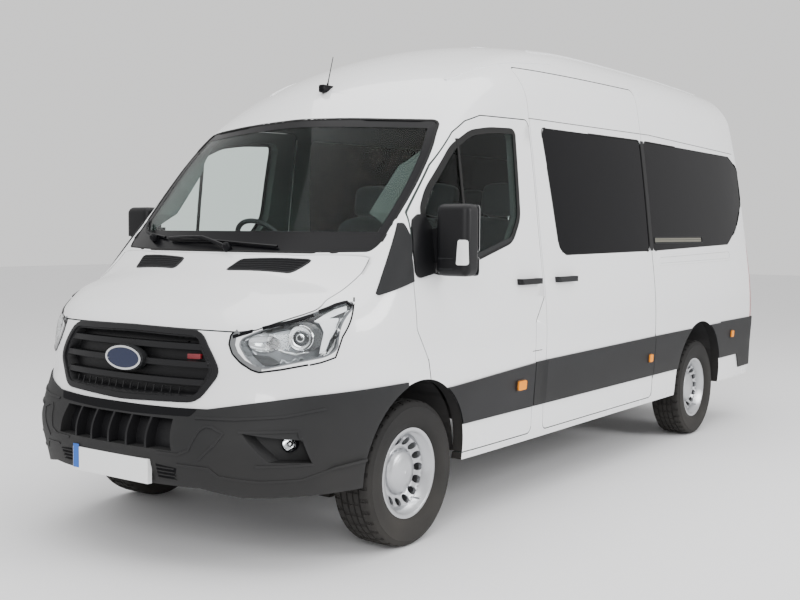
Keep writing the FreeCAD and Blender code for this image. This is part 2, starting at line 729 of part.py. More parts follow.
def disc(x0, x1, radius, y, z):
    """A cylinder across the body."""
    return Part.makeCylinder(radius, x1 - x0, FreeCAD.Vector(x0, y, z), FreeCAD.Vector(1, 0, 0))


def tyre_solid(y):
    """A left tyre with a flat tread and rounded shoulders."""
    middle = track / 2
    half = tyre_width / 2
    outer_radius = tyre_diameter / 2
    soft = outer_radius - shoulder_radius
    inner_radius = rim_diameter / 2 - rim_lip
    near = half - shoulder_radius
    bead = rim_width / 2 - rim_wall - bore_clearance
    flange = inner_radius + rim_lip + bore_clearance
    profile = [(-near, outer_radius), (near, outer_radius), (half - sidewall_bulge, soft),
               (half, (soft + inner_radius) / 2), (half - sidewall_bulge * 3, flange + rim_wall),
               (bead, flange), (bead, inner_radius), (-bead, inner_radius), (-bead, flange),
               (sidewall_bulge * 3 - half, flange + rim_wall), (-half, (soft + inner_radius) / 2),
               (sidewall_bulge - half, soft)]
    return turned([(middle + x, r) for x, r in profile], middle, axle_height, y)


def rim_solid(y):
    """A left steel wheel: rim, dished disc with round holes, domed centre and brake disc."""
    middle = track / 2
    half = rim_width / 2
    lip = rim_diameter / 2
    bead = bead_radius
    seat = lip - rim_lip - bore_clearance
    face = middle + hub_face
    barrel = [(-half, lip), (-half, seat - rim_wall), (half, seat - rim_wall), (half, lip),
              (half - rim_wall, lip), (half - rim_wall, seat), (rim_wall - half, seat), (rim_wall - half, lip)]
    rim = turned([(middle + x, r) for x, r in barrel], middle, axle_height, y)
    dish = [(face - rim_wall, spindle_radius + bore_clearance), (face, hub_radius), (face - rim_wall, bead * dish_share),
            (face + hub_face, bead * 0.82), (face, seat - rim_wall / 2), (face - rim_wall * 2, seat - rim_wall / 2),
            (face + hub_face - rim_wall * 2, bead * 0.80), (face - rim_wall * 3, bead * dish_share),
            (face - rim_wall * 3, spindle_radius + bore_clearance)]
    disc_part = turned([(x, r) for x, r in dish], middle, axle_height, y)
    holes = []
    for k in range(tyre_hole_count):
        turn = 2 * math.pi * k / tyre_hole_count
        centre_y = y + tyre_hole_circle * math.cos(turn)
        centre_z = axle_height + tyre_hole_circle * math.sin(turn)
        holes.append(disc(middle - half, middle + half + rim_wall, tyre_hole_radius, centre_y, centre_z))
    disc_part = disc_part.cut(Part.makeCompound(holes))
    cap = [(face - rim_wall, 0), (face + hub_length, 0), (face + hub_length - rim_wall, hub_radius * 0.55),
           (face + hub_length * 0.6, hub_radius * 0.80), (face + rim_wall, hub_radius * 0.95),
           (face - rim_wall, hub_radius * 0.95)]
    cap_part = turned([(x, r) for x, r in cap], middle, axle_height, y)
    brake = turned([(middle - disc_offset - brake_thickness, brake_radius * 0.5), (middle - disc_offset - brake_thickness, brake_radius),
                    (middle - disc_offset, brake_radius), (middle - disc_offset, brake_radius * 0.62),
                    (face - rim_wall * 3, brake_radius * 0.62), (face - rim_wall * 3, brake_radius * 0.5)],
                   middle, axle_height, y)
    return rim.fuse([disc_part, cap_part, brake])


def make_wheels():
    """Four wheels, each a tyre on a steel rim."""
    for end, y in (("front", front_axle_y), ("rear", rear_axle_y)):
        tyre, rim = tyre_solid(y), rim_solid(y)
        save("tyre_" + end + "_left", tyre)
        save("tyre_" + end + "_right", flip(tyre))
        save("rim_" + end + "_left", rim)
        save("rim_" + end + "_right", flip(rim))


def make_running_gear():
    """Knuckles, front subframe with arms and struts, rear axle with its springs, exhaust and tank."""
    pin_x = track / 2 - king_pin_inset
    pin = Part.makeCylinder(king_pin_radius, 2 * king_pin_reach,
                            FreeCAD.Vector(pin_x, front_axle_y, axle_height - king_pin_reach))
    stub = disc(pin_x, track / 2 + hub_face - rim_wall * 2, spindle_radius, front_axle_y, axle_height)
    knuckle = pin.fuse(stub)
    save("knuckle_left", knuckle)
    save("knuckle_right", flip(knuckle))
    low_z = axle_height - king_pin_reach - bore_clearance
    arm_y = front_axle_y
    cross = box(-subframe_half_width, subframe_half_width, arm_y - subframe_depth / 2,
                arm_y + subframe_depth / 2, low_z - arm_height, low_z + arm_height)
    arm = box(subframe_half_width, pin_x + king_pin_radius, arm_y - arm_width / 2, arm_y + arm_width / 2,
              low_z - arm_height, low_z)
    roof_z = arch_height + arch_radius_front + arch_step
    strut = Part.makeCylinder(strut_radius, roof_z - low_z + arm_height / 2 - housing_wall,
                              FreeCAD.Vector(strut_x, arm_y, low_z - arm_height / 2))
    mounts = box(rail_x - rail_width / 2, rail_x + rail_width / 2, arm_y - subframe_depth / 2,
                 arm_y + subframe_depth / 2, low_z - arm_height,
                 up(floor_top_share) - floor_thickness - rail_height)
    side = arm.fuse([strut, mounts])
    save("front_subframe", cross.fuse([side, flip(side)]))

    beam = disc(-drum_inner, drum_inner, beam_radius, rear_axle_y, axle_height)
    ball = Part.makeCylinder(diff_radius, diff_radius * 1.3,
                             FreeCAD.Vector(0, rear_axle_y - diff_radius * 0.65, axle_height),
                             FreeCAD.Vector(0, 1, 0))
    drum = disc(drum_inner, drum_outer, drum_radius, rear_axle_y, axle_height)
    stub = disc(drum_outer, track / 2 + hub_face - rim_wall * 2, spindle_radius, rear_axle_y, axle_height)
    shaft_start = along(gearbox_back_share)
    shaft = Part.makeCylinder(prop_radius, rear_axle_y - shaft_start,
                              FreeCAD.Vector(0, shaft_start, axle_height), FreeCAD.Vector(0, 1, 0))
    save("rear_axle", beam.fuse([ball, drum, flip(drum), stub, flip(stub), shaft]))
    springs = []
    for reach in (-spring_reach, spring_reach):
        points = [(0, axle_height + beam_radius), (reach * 0.5, axle_height + beam_radius + spring_rise * 0.25),
                  (reach, axle_height + beam_radius + spring_rise)]
        top = [FreeCAD.Vector(spring_x, rear_axle_y + y, z) for y, z in points]
        bottom = [p + FreeCAD.Vector(0, 0, spring_thickness) for p in reversed(top)]
        leaf = Part.Face(Part.makePolygon(top + bottom + [top[0]]))
        leaf = leaf.extrude(FreeCAD.Vector(spring_width, 0, 0))
        end_y = rear_axle_y + reach
        shackle = box(spring_x, spring_x + spring_width, end_y - spring_thickness, end_y + spring_thickness,
                      points[2][1], up(floor_top_share) - floor_thickness)
        springs.append(leaf.fuse(shackle))
    pair = springs[0].fuse(springs[1])
    save("leaf_springs", pair, flip(pair))

    low = axle_height + running_gap * 5
    pipe = Part.makeCylinder(exhaust_radius, along(1.26) - along(0.1), FreeCAD.Vector(exhaust_x, along(0.1), low + silencer_radius),
                             FreeCAD.Vector(0, 1, 0))
    silencer = Part.makeCylinder(silencer_radius, wheelbase * 0.2, FreeCAD.Vector(exhaust_x, along(0.4), low + silencer_radius),
                                 FreeCAD.Vector(0, 1, 0))
    hangers = [box(exhaust_x - spring_thickness / 2, exhaust_x + spring_thickness / 2, along(s), along(s) + spring_thickness,
                   low + silencer_radius, up(floor_top_share) - floor_thickness) for s in (0.25, 0.5, 0.75, 1.2)]
    save("exhaust", pipe.fuse([silencer] + hangers))
    tank = box(tank_inner, tank_outer, along(0.36), along(0.62), up(0.135), up(floor_top_share) - floor_thickness)
    save("fuel_tank", tank.makeFillet(seat_round, [e for e in tank.Edges if abs(e.BoundBox.YLength) > wheelbase / 10]))


def make_chassis(inner):
    """The floor with its rails, bulkhead and wheel housings, and the engine with its gearbox."""
    top = up(floor_top_share)
    low = top - floor_thickness
    start = along(floor_front_share)
    slab = box(-big, big, start, far, low, top)
    door_end = along(post_share)
    slab = slab.cut([box(door_floor_half_width, big, start, door_end + wall, 0, top + 1),
                     box(-big, -door_floor_half_width, start, door_end + wall, 0, top + 1)])
    rear_limit = along(TAIL_SHARES[2][0]) - wall - running_gap
    slab = slab.common(inner).common(box(-big, big, -far, rear_limit, 0, far))
    rails = [box(x - rail_width / 2, x + rail_width / 2, along(-0.2), rear_limit, low - rail_height, low)
             for x in (-rail_x, rail_x)]
    wall_plate = box(-dash_half_width, dash_half_width, start, along(DASH_SHARES[6][0]),
                     low, up(DASH_SHARES[6][1]))
    housings = []
    wells = []
    for side_y, radius, inner_x, outer_x in (
            (front_arch_y(), arch_radius_front + arch_step, housing_inner_front,
             door_floor_half_width - running_gap * 2),
            (rear_arch_y(), arch_radius_rear, housing_inner_rear, big)):
        whole = arch_cut(side_y, radius + housing_wall, inner_x - housing_wall)
        well = arch_cut(side_y, radius, inner_x)
        limit = box(0, outer_x, -far, far, arch_height * 0.95, far)
        housings.append(whole.cut(well).common(limit).common(inner))
        wells.append(arch_cut(side_y, radius + housing_wall, inner_x - housing_wall))
    hub_hole = disc(housing_inner_rear - wall, housing_inner_rear + 1, drum_radius + running_gap * 2,
                    rear_axle_y, axle_height)
    housings[1] = housings[1].cut(hub_hole)
    wells += [flip(w) for w in wells]
    housings += [flip(h) for h in housings]
    sill = inner.copy()
    sill.translate(FreeCAD.Vector(-bore_clearance, 0, 0))
    stop_y = along(door_stop_share)
    stop = box(door_floor_half_width - rail_width, big, stop_y, stop_y + rail_width, low, top).common(sill)
    floor = slab.cut(wells).fuse(rails + [wall_plate, stop, flip(stop)] + housings)
    save("floor_pan", floor)
    block = box(-engine_half_width, engine_half_width, along(engine_front_share), along(engine_back_share),
                up(engine_low_share), up(engine_high_share))
    gearbox = box(-gearbox_half_width, gearbox_half_width, along(engine_back_share), along(gearbox_back_share),
                  up(engine_low_share), low)
    save("engine", block.fuse(gearbox))


def soft_box(x, y, z, width, depth, height):
    """A rounded cushion, from its middle, front and bottom."""
    cushion = box(x - width / 2, x + width / 2, y, y + depth, z, z + height)
    return cushion.makeFillet(seat_round, cushion.Edges)


def seat(x, share, width, heads):
    """One seat: pedestal, cushion, leaning back, headrests and their posts."""
    floor = up(floor_top_share)
    front = along(share)
    base_z = floor + cushion_rise
    pedestal = box(x - width * pedestal_share, x + width * pedestal_share, front + cushion_depth * 0.15, front + cushion_depth * 0.95,
                   floor, base_z)
    cushion = soft_box(x, front, base_z, width, cushion_depth, cushion_height)
    back_y = front + cushion_depth - back_depth * 0.5
    back_z = base_z + cushion_height * 0.6
    back = soft_box(x, back_y, back_z, width, back_depth, back_height)
    parts = [back]
    for offset in heads:
        rest_z = back_z + back_height + head_gap
        parts.append(soft_box(x + offset, back_y, rest_z, head_width, head_depth, head_height))
        for side in (-post_spread, post_spread):
            parts.append(Part.makeCylinder(post_radius, head_gap * 3, FreeCAD.Vector(
                x + offset + side, back_y + head_depth / 2, rest_z - head_gap * 2)))
    leaning = parts[0].fuse(parts[1:])
    leaning.rotate(FreeCAD.Vector(x, back_y, back_z), FreeCAD.Vector(1, 0, 0), -back_lean)
    return pedestal.fuse([cushion, leaning])


def make_interior():
    """The dashboard, the steering wheel and the seats."""
    dash = rounded_face([at_side(p, -dash_half_width) for p in DASH_SHARES], seat_round)
    dash = dash.extrude(FreeCAD.Vector(2 * dash_half_width, 0, 0))
    save("dashboard", dash)
    hub = FreeCAD.Vector(driver_x, along(wheel_y_share), up(wheel_z_share))
    lean = math.radians(steer_lean)
    axis = FreeCAD.Vector(0, math.sin(lean), math.cos(lean))
    ring = Part.makeTorus(steer_radius, steer_rim, hub, axis)
    column = Part.makeCylinder(column_radius, column_length, hub, axis * -1)
    pad = Part.makeCylinder(column_radius * 2, steer_rim * 2, hub - axis * steer_rim, axis)
    spokes = box(-steer_radius, steer_radius, -steer_rim, steer_rim, -steer_rim * 0.6, steer_rim * 0.6)
    spokes.rotate(FreeCAD.Vector(), FreeCAD.Vector(1, 0, 0), -steer_lean)
    spokes.translate(hub)
    save("steering_wheel", ring.fuse([column, pad, spokes]).cut(dash))
    save("driver_seat", seat(driver_x, cab_seat_share, seat_width, [0.0]))
    quarter = bench_width / 4
    save("front_passenger_seat", seat(mate_x, cab_seat_share, bench_width, [-quarter, quarter]))
    rows = [seat(x, share, rear_seat_width, [0.0]) for share in ROW_SHARES for x in ROW_PLACES]
    save("rear_seats", *rows)


def make_fittings():
    """A left mirror's head and arm, and a door handle."""
    head = box(mirror_inner, mirror_outer, along(mirror_front_share), along(mirror_back_share),
               up(mirror_low_share), up(mirror_high_share))
    head = head.makeFillet(mirror_round, head.Edges)
    arm = box(door_sweep_x, mirror_inner + mirror_round, along(mirror_front_share) + mirror_round,
              along(mirror_back_share) - mirror_round / 2, up(arm_low_share), up(arm_high_share))
    handle_y = along(FRONT_DOOR_SHARES[8][0]) - handle_length - wall
    z = up(handle_z_share)
    x = half_width * smooth_table(HALF_WIDTH_SHARES, handle_z_share)
    grip = box(x + handle_stand - handle_depth, x + handle_stand, handle_y, handle_y + handle_length,
               z - handle_height / 2, z + handle_height / 2)
    feet = [box(x - 1, x + handle_stand, y, y + handle_height, z - handle_height / 2, z + handle_height / 2)
            for y in (handle_y, handle_y + handle_length - handle_height)]
    return head, arm, grip.fuse(feet)


def make_plates():
    """Blank plates on the front and rear bumpers."""
    z = up(plate_z_share)
    front_y = along(nose_plate_share)
    front = box(-plate_width / 2, plate_width / 2, front_y - plate_thickness, front_y + plate_thickness * 3,
                z - plate_height / 2, z + plate_height / 2)
    z = up(rear_plate_z_share)
    rear_y = along(TAIL_SHARES[1][0]) + bumper_stand
    rear = box(-plate_width / 2, plate_width / 2, rear_y, rear_y + plate_thickness,
               z - plate_height / 2, z + plate_height / 2)
    return front, rear


def main():
    """Build every part of the vehicle."""
    os.makedirs("parts", exist_ok=True)
    outer = rounded_tail(body_solid(0.0, cut_reach / 4), 0.0)
    inner = body_solid(wall, cut_reach * 0.75)
    recess = body_solid(recess_depth, cut_reach / 2)
    stand = rounded_tail(body_solid(-bumper_stand, cut_reach / 4), -bumper_stand)
    glass = body_solid(glass_inset, cut_reach / 4)
    glass_inner = body_solid(glass_inset + glass_thickness, cut_reach / 3)
    skins = {"outer": outer, "inner": inner, "recess": recess, "stand": stand, "glass": glass,
             "glass_inner": glass_inner}
    make_wheels()
    make_running_gear()
    make_interior()
    make_chassis(inner)
    make_body(skins)


main()
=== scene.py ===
"""Dresses the minibus: paint, glass, lamps, grille, wheels, cabin and the small pieces that show."""

from __future__ import annotations

import json
import logging
import math
from collections.abc import Sequence
from dataclasses import dataclass, replace
from enum import Enum

import bmesh
import bpy
from mathutils import Matrix, Vector
from mathutils.bvhtree import BVHTree

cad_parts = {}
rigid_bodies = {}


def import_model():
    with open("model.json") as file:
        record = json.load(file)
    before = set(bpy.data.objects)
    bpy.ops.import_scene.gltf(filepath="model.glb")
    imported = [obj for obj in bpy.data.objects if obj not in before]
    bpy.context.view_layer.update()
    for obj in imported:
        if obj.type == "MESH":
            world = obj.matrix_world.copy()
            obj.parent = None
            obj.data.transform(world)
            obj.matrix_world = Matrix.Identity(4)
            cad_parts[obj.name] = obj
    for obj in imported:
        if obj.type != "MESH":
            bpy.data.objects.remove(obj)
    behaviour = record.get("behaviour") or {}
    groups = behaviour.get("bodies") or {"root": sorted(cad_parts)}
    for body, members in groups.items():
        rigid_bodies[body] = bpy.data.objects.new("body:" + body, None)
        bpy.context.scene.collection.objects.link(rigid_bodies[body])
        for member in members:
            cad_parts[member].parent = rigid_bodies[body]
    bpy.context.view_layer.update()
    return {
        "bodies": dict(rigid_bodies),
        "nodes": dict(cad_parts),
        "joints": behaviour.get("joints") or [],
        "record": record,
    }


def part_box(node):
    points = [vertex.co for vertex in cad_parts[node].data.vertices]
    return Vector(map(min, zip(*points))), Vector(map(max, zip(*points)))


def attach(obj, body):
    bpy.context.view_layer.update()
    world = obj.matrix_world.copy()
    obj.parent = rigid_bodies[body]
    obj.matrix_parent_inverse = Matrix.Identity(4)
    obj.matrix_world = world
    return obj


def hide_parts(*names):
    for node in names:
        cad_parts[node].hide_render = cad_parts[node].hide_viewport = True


log = logging.getLogger("minibus")
Point = tuple[float, float]
Line = Sequence[Point]
Triple = tuple[float, float, float]
Mesh = bmesh.types.BMesh

FRONT_AXLE = -1.9675
REAR_AXLE = 1.7825
WHEEL_RADIUS = 0.356
MERGE = 0.00002
CAD_MERGE = 0.00003
STAND_OFF = 4.0
NEAR_SEARCH = 3.0
PANEL_GAP = 0.012
GAP_DEPTH = 0.03
FINE_STEP = 0.015


class View(Enum):
    """The direction from which a flat outline is laid on the body: its two axes and its heading."""

    FRONT = ("x", "z", (0.0, 1.0, 0.0))
    BACK = ("x", "z", (0.0, -1.0, 0.0))
    LEFT = ("y", "z", (-1.0, 0.0, 0.0))
    RIGHT = ("y", "z", (1.0, 0.0, 0.0))
    TOP = ("x", "y", (0.0, 0.0, -1.0))

    @property
    def heading(self) -> Vector:
        """The way the outline travels to reach the body."""
        return Vector(self.value[2])

    def start(self, a: float, b: float) -> Vector:
        """A point well off the body, at a place in the flat outline."""
        place = Vector((0.0, 0.0, 0.0))
        setattr(place, self.value[0], a)
        setattr(place, self.value[1], b)
        return place - self.heading * STAND_OFF


class Side(Enum):
    """The two sides of the vehicle, by the sign of X."""

    LEFT = 1
    RIGHT = -1

    @property
    def word(self) -> str:
        """The side's name as the frame spells it."""
        return self.name.lower()

    @property
    def view(self) -> View:
        """The direction from which the side's outlines are laid."""
        return View[self.name]

    @property
    def door(self) -> str:
        """The node of the sliding door, which only one side has."""
        return "sliding_door" if self is Side.LEFT else ""

    @property
    def outwards(self) -> Vector:
        """The way out of the vehicle."""
        return Vector((float(self.value), 0.0, 0.0))


def feed(node: bpy.types.Node, values: dict) -> bpy.types.Node:
    """Give a node's inputs constants, or link them to other nodes' outputs.

    Args:
        node: the node.
        values: what each input, by its name or number, is set or linked to.

    Returns:
        The node.
    """
    for key, value in values.items():
        if isinstance(value, bpy.types.NodeSocket):
            node.id_data.links.new(value, node.inputs[key])
        else:
            node.inputs[key].default_value = value
    return node


def surface_group() -> bpy.types.NodeTree:
    """The shared group that varies a colour and adds fine grain, low dust and worn edges.

    Returns:
        The node group.
    """
    name = "surface_marks"
    if name in bpy.data.node_groups:
        return bpy.data.node_groups[name]
    tree = bpy.data.node_groups.new(name, "ShaderNodeTree")
    for way, kind, labels in (("INPUT", "Vector", ("Position",)), ("INPUT", "Color", ("Colour", "Worn Colour")),
                              ("INPUT", "Float", ("Roughness", "Variation", "Grain Scale", "Dust", "Wear")),
                              ("OUTPUT", "Color", ("Colour",)), ("OUTPUT", "Float", ("Roughness", "Grain"))):
        for label in labels:
            tree.interface.new_socket(name=label, in_out=way, socket_type="NodeSocket" + kind)
    given = tree.nodes.new("NodeGroupInput").outputs

    def made(kind: str, values: dict) -> bpy.types.bpy_prop_collection:
        """The outputs of a new node."""
        return feed(tree.nodes.new("ShaderNode" + kind), values).outputs

    def product(*values: object, kind: str = "MULTIPLY") -> bpy.types.NodeSocket:
        """The product of numbers or sockets, or another operation's result."""
        node = tree.nodes.new("ShaderNodeMath")
        node.operation = kind
        feed(node, {0: values[0], 1: values[1]})
        return product(node.outputs[0], *values[2:]) if len(values) > 2 else node.outputs[0]

    def mixed(share: object, first: object, second: object) -> bpy.types.NodeSocket:
        """Two colours mixed."""
        node = tree.nodes.new("ShaderNodeMix")
        node.data_type = "RGBA"
        return feed(node, {"Factor": share, "A": first, "B": second}).outputs["Result"]

    patches = made("TexNoise", {"Vector": given["Position"], "Scale": 3.0, "Detail": 4.0})["Fac"]
    grain = made("TexNoise", {"Vector": given["Position"], "Scale": given["Grain Scale"], "Detail": 3.0})["Fac"]
    centred = product(patches, 0.5, kind="SUBTRACT")
    gain = product(product(centred, given["Variation"]), 1.0, kind="ADD")
    tint = tree.nodes.new("ShaderNodeVectorMath")
    tint.operation = "SCALE"
    feed(tint, {0: given["Colour"], "Scale": gain})
    sharp = product(made("NewGeometry", {})["Pointiness"], 0.53, kind="SUBTRACT")
    edges = made("Clamp", {"Value": product(sharp, 12.0, patches, given["Wear"])})[0]
    worn = mixed(edges, tint.outputs[0], given["Worn Colour"])
    height = made("SeparateXYZ", {0: given["Position"]})["Z"]
    low = made("MapRange", {"From Min": 0.9, "From Max": 0.15, "Value": height})["Result"]
    dusty = product(low, patches, given["Dust"])
    shift = product(product(centred, 0.25), 1.0, kind="ADD")
    rough = product(product(shift, given["Roughness"]), product(dusty, 0.4), kind="ADD")
    feed(tree.nodes.new("NodeGroupOutput"), {"Colour": mixed(dusty, worn, (0.32, 0.29, 0.25, 1.0)),
                                             "Roughness": rough, "Grain": grain})
    return tree


@dataclass(frozen=True)
class Look:
    """A material that is made when it is first used."""

    name: str
    colour: Triple
    rough: float = 0.5
    slot: str = "dark_plastic"

    def build(self) -> bpy.types.Material:
        """Find the material, or make it.

        Returns:
            The material.
        """
        label = self.name + "_look"
        mat = bpy.data.materials.get(label)
        if mat is None:
            mat = bpy.data.materials.new(label)
            mat.use_nodes = True
            self.paint(mat.node_tree, mat.node_tree.nodes["Principled BSDF"])
        return mat

    def paint(self, tree: bpy.types.NodeTree, shader: bpy.types.Node) -> None:
        """Set up the shader and what feeds it."""
        raise NotImplementedError


@dataclass(frozen=True)
class Finish(Look):
    """A plain surface with grain, dust and worn edges."""

    metal: float = 0.0
    coat: float = 0.0
    coat_rough: float = 0.03
    grain: float = 400.0
    relief: float = 0.0
    dust: float = 0.0
    wear: float = 0.0
    worn: Triple = (0.6, 0.6, 0.6)
    vary: float = 0.04
    sheen: float = 0.0
    glow: float = 0.0
    spec: float = 0.5

    def paint(self, tree: bpy.types.NodeTree, shader: bpy.types.Node) -> None:
        """Feed the shader from the shared group."""
        group = tree.nodes.new("ShaderNodeGroup")
        group.node_tree = surface_group()
        where = tree.nodes.new("ShaderNodeTexCoord")
        feed(group, {"Position": where.outputs["Object"], "Colour": (*self.colour, 1.0),
                     "Worn Colour": (*self.worn, 1.0), "Roughness": self.rough, "Variation": self.vary,
                     "Grain Scale": self.grain, "Dust": self.dust, "Wear": self.wear})
        feed(shader, {"Base Color": group.outputs["Colour"], "Roughness": group.outputs["Roughness"],
                      "Metallic": self.metal, "Coat Weight": self.coat, "Coat Roughness": self.coat_rough,
                      "Sheen Weight": self.sheen, "Specular IOR Level": self.spec})
        if self.relief:
            bump = feed(tree.nodes.new("ShaderNodeBump"), {"Strength": 1.0, "Distance": self.relief,
                                                           "Height": group.outputs["Grain"]})
            feed(shader, {"Normal": bump.outputs["Normal"]})
        if self.glow:
            feed(shader, {"Emission Color": (*self.colour, 1.0), "Emission Strength": self.glow})


@dataclass(frozen=True)
class Glass(Look):
    """Thin clear or tinted glass that light passes straight through."""

    rough: float = 0.0
    see_through: float = 1.0
    coat: float = 0.0

    def paint(self, tree: bpy.types.NodeTree, shader: bpy.types.Node) -> None:
        """Set the shader's constants."""
        feed(shader, {"Base Color": (*self.colour, 1.0), "Roughness": self.rough, "IOR": 1.12,
                      "Transmission Weight": self.see_through, "Coat Weight": self.coat, "Coat Roughness": 0.01})


WHITE = Finish("white_paint", (0.855, 0.862, 0.875), 0.26, "white_paint", coat=1.0, vary=0.015, dust=0.06,
               grain=900.0, relief=0.00002)
DARK = Finish("dark_plastic", (0.0115, 0.0120, 0.0130), 0.60, grain=900.0, relief=0.0004, dust=0.08, wear=0.15,
              worn=(0.05, 0.05, 0.055), spec=0.22)
BLACK = Finish("gloss_black", (0.003, 0.003, 0.004), 0.30, spec=0.12)
# Near-black for the dark joints between panels, and painted shade inside the bumper's slots and the bonnet's
# vents.
SEAM_AND_OPENING_SHADE = Finish("seam_black", (0.006, 0.006, 0.007), 0.8, spec=0.1)
RUBBER = Finish("seal_rubber", (0.007, 0.007, 0.007), 0.7, grain=600.0, relief=0.0002, spec=0.25)
TYRE = Finish("tyre_rubber", (0.0095, 0.0095, 0.010), 0.78, "tyre_rubber", grain=500.0, relief=0.0004, dust=0.12,
              vary=0.2, spec=0.25)
SILVER = Finish("wheel_silver", (0.50, 0.51, 0.53), 0.30, "tyre_rubber", metal=0.80, coat=0.3, dust=0.10,
                wear=0.15, worn=(0.36, 0.35, 0.34), grain=700.0, relief=0.0001)
CHROME = Finish("lamp_chrome", (0.82, 0.83, 0.84), 0.07, "lamp_chrome", metal=1.0, vary=0.02)
REFLECTOR = Finish("lamp_reflector", (0.60, 0.61, 0.62), 0.22, "lamp_chrome", metal=0.85, coat=0.4, vary=0.06)
LAMP_FLOOR = Finish("lamp_floor", (0.16, 0.17, 0.18), 0.30, metal=0.6, coat=0.4, vary=0.06)
GRILLE = Finish("grille_black", (0.009, 0.009, 0.010), 0.45, grain=900.0, relief=0.0002, spec=0.2)
MIRROR = Finish("mirror_black", (0.006, 0.006, 0.007), 0.42, grain=900.0, relief=0.0001, spec=0.22)
BORDER = Finish("lamp_border", (0.15, 0.155, 0.16), 0.3, "lamp_chrome", metal=0.3, coat=0.3)
# Grey painted shade for the crease at the inner foot of the stamped field's rib on the white sides.
CREASE_SHADE = Finish("pressed_line", (0.26, 0.265, 0.27), 0.5, "white_paint")
UNDER = Finish("underbody_paint", (0.010, 0.010, 0.011), 0.75, dust=0.15, grain=200.0, relief=0.0006, spec=0.2)
ENGINE = Finish("cast_metal", (0.20, 0.20, 0.21), 0.6, metal=0.7, grain=350.0, relief=0.0006)
EXHAUST = Finish("exhaust_steel", (0.26, 0.24, 0.22), 0.45, metal=0.9, vary=0.3)
CABIN = Finish("cabin_plastic", (0.022, 0.027, 0.028), 0.65, "cabin_plastic", grain=1200.0, relief=0.0004,
               spec=0.25)
LINING = Finish("cabin_lining", (0.060, 0.075, 0.070), 0.9, grain=1500.0, relief=0.0003, spec=0.15)
CLOTH = Finish("seat_cloth", (0.022, 0.028, 0.030), 0.9, "seat_cloth", grain=1400.0, relief=0.0008, sheen=0.2,
               spec=0.2)
PLATE = Finish("plate_white", (0.82, 0.83, 0.83), 0.35, coat=0.3)
BLUE = Finish("plate_blue", (0.008, 0.10, 0.45), 0.4, "plate_white")
AMBER = Finish("amber_lens", (0.86, 0.27, 0.004), 0.45, "lamp_red", spec=0.12)
RED = Finish("red_lens", (0.33, 0.004, 0.006), 0.2, "lamp_red", coat=0.5, spec=0.35)
TAIL = Finish("tail_lens", (0.42, 0.006, 0.030), 0.5, "lamp_red", spec=0.08)
FLOOR = Finish("studio_floor", (0.85, 0.85, 0.86), 0.75, vary=0.0, spec=0.2)
BADGE = Finish("badge_face", (0.008, 0.014, 0.045), 0.25, coat=0.2, spec=0.3)
RED_BADGE = Finish("badge_red", (0.24, 0.012, 0.02), 0.35, "lamp_red", coat=0.3)
LIGHT = Finish("light_guide", (0.90, 0.91, 0.93), 0.25, "lamp_chrome", coat=0.6, glow=0.25)
EYE = Finish("lamp_eye", (0.030, 0.034, 0.038), 0.05, "lamp_clear", metal=0.5, coat=1.0, coat_rough=0.01)
HOUSING = Finish("lamp_housing", (0.045, 0.048, 0.052), 0.35, "lamp_chrome", coat=0.3)
INDICATOR = Finish("indicator_lens", (0.80, 0.81, 0.81), 0.18, "lamp_clear", coat=0.9, grain=90.0, relief=0.002,
                   vary=0.2)
MARKER_FOOT = Finish("marker_foot", (0.06, 0.03, 0.012), 0.5)
VENT = Finish("vent_pane", (0.13, 0.125, 0.095), 0.40, "dark_glass", coat=0.1, spec=0.3)
CLEAR = Glass("clear_glass", (0.86, 0.93, 0.91))
LENS = Glass("lamp_glass", (0.97, 0.985, 0.99), slot="lamp_clear", coat=0.25)
PRIVACY = Glass("privacy_glass", (0.003, 0.003, 0.004), 0.02, see_through=0.04, coat=0.05)
LAMP_BLACK = replace(BLACK, slot="lamp_chrome")

NODE_LOOKS = {
    WHITE: "roof_panel side_panel_{} windscreen_frame fenders front_panel bonnet sliding_door front_door_{} "
           "rear_door_{}",
    DARK: "front_bumper rear_bumper side_trim",
    LAMP_FLOOR: "headlamps",
    GRILLE: "grille",
    MIRROR: "door_trim_{}",
    LENS: "headlamp_lenses",
    RED: "tail_lamps",
    CLEAR: "windscreen front_door_window_{}",
    PRIVACY: "privacy_windows rear_door_window_{}",
    PLATE: "plates",
    UNDER: "floor_pan front_subframe rear_axle leaf_springs knuckle_{} fuel_tank",
    ENGINE: "engine",
    EXHAUST: "exhaust",
    CABIN: "dashboard steering_wheel",
    SILVER: "rim_front_{} rim_rear_{}",
}


def linked(name: str, shape: Mesh, look: Look) -> bpy.types.Object:
    """Put a mesh into the scene with one material, and free its bmesh."""
    mesh = bpy.data.meshes.new(name)
    shape.to_mesh(mesh)
    shape.free()
    mesh.materials.clear()
    mesh.materials.append(look.build())
    made = bpy.data.objects.new(name, mesh)
    bpy.context.scene.collection.objects.link(made)
    return made


def shade(piece: bpy.types.Object, angle: float) -> None:
    """Shade a piece smooth up to an angle in degrees."""
    piece.data.shade_smooth()
    piece.data.set_sharp_from_angle(angle=math.radians(angle))


def finish_mesh(name: str, shape: Mesh, look: Look, body: str = "body", smooth: float = 35.0) -> bpy.types.Object:
    """Turn a bmesh into a piece that rides on a body.

    Args:
        name: the piece's name.
        shape: its mesh, which is freed.
        look: its material.
        body: the body it rides on.
        smooth: the widest angle, in degrees, that is shaded smooth.

    Returns:
        The piece.
    """
    bmesh.ops.remove_doubles(shape, verts=shape.verts, dist=MERGE)
    bmesh.ops.recalc_face_normals(shape, faces=shape.faces)
    piece = linked(name, shape, look)
    shade(piece, smooth)
    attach(piece, body)
    log.info("piece %s on %s: %d faces", name, body, len(piece.data.polygons))
    return piece


def between(first: Point, second: Point, share: float) -> Point:
    """The point a share of the way from one point to another."""
    return first[0] + (second[0] - first[0]) * share, first[1] + (second[1] - first[1]) * share


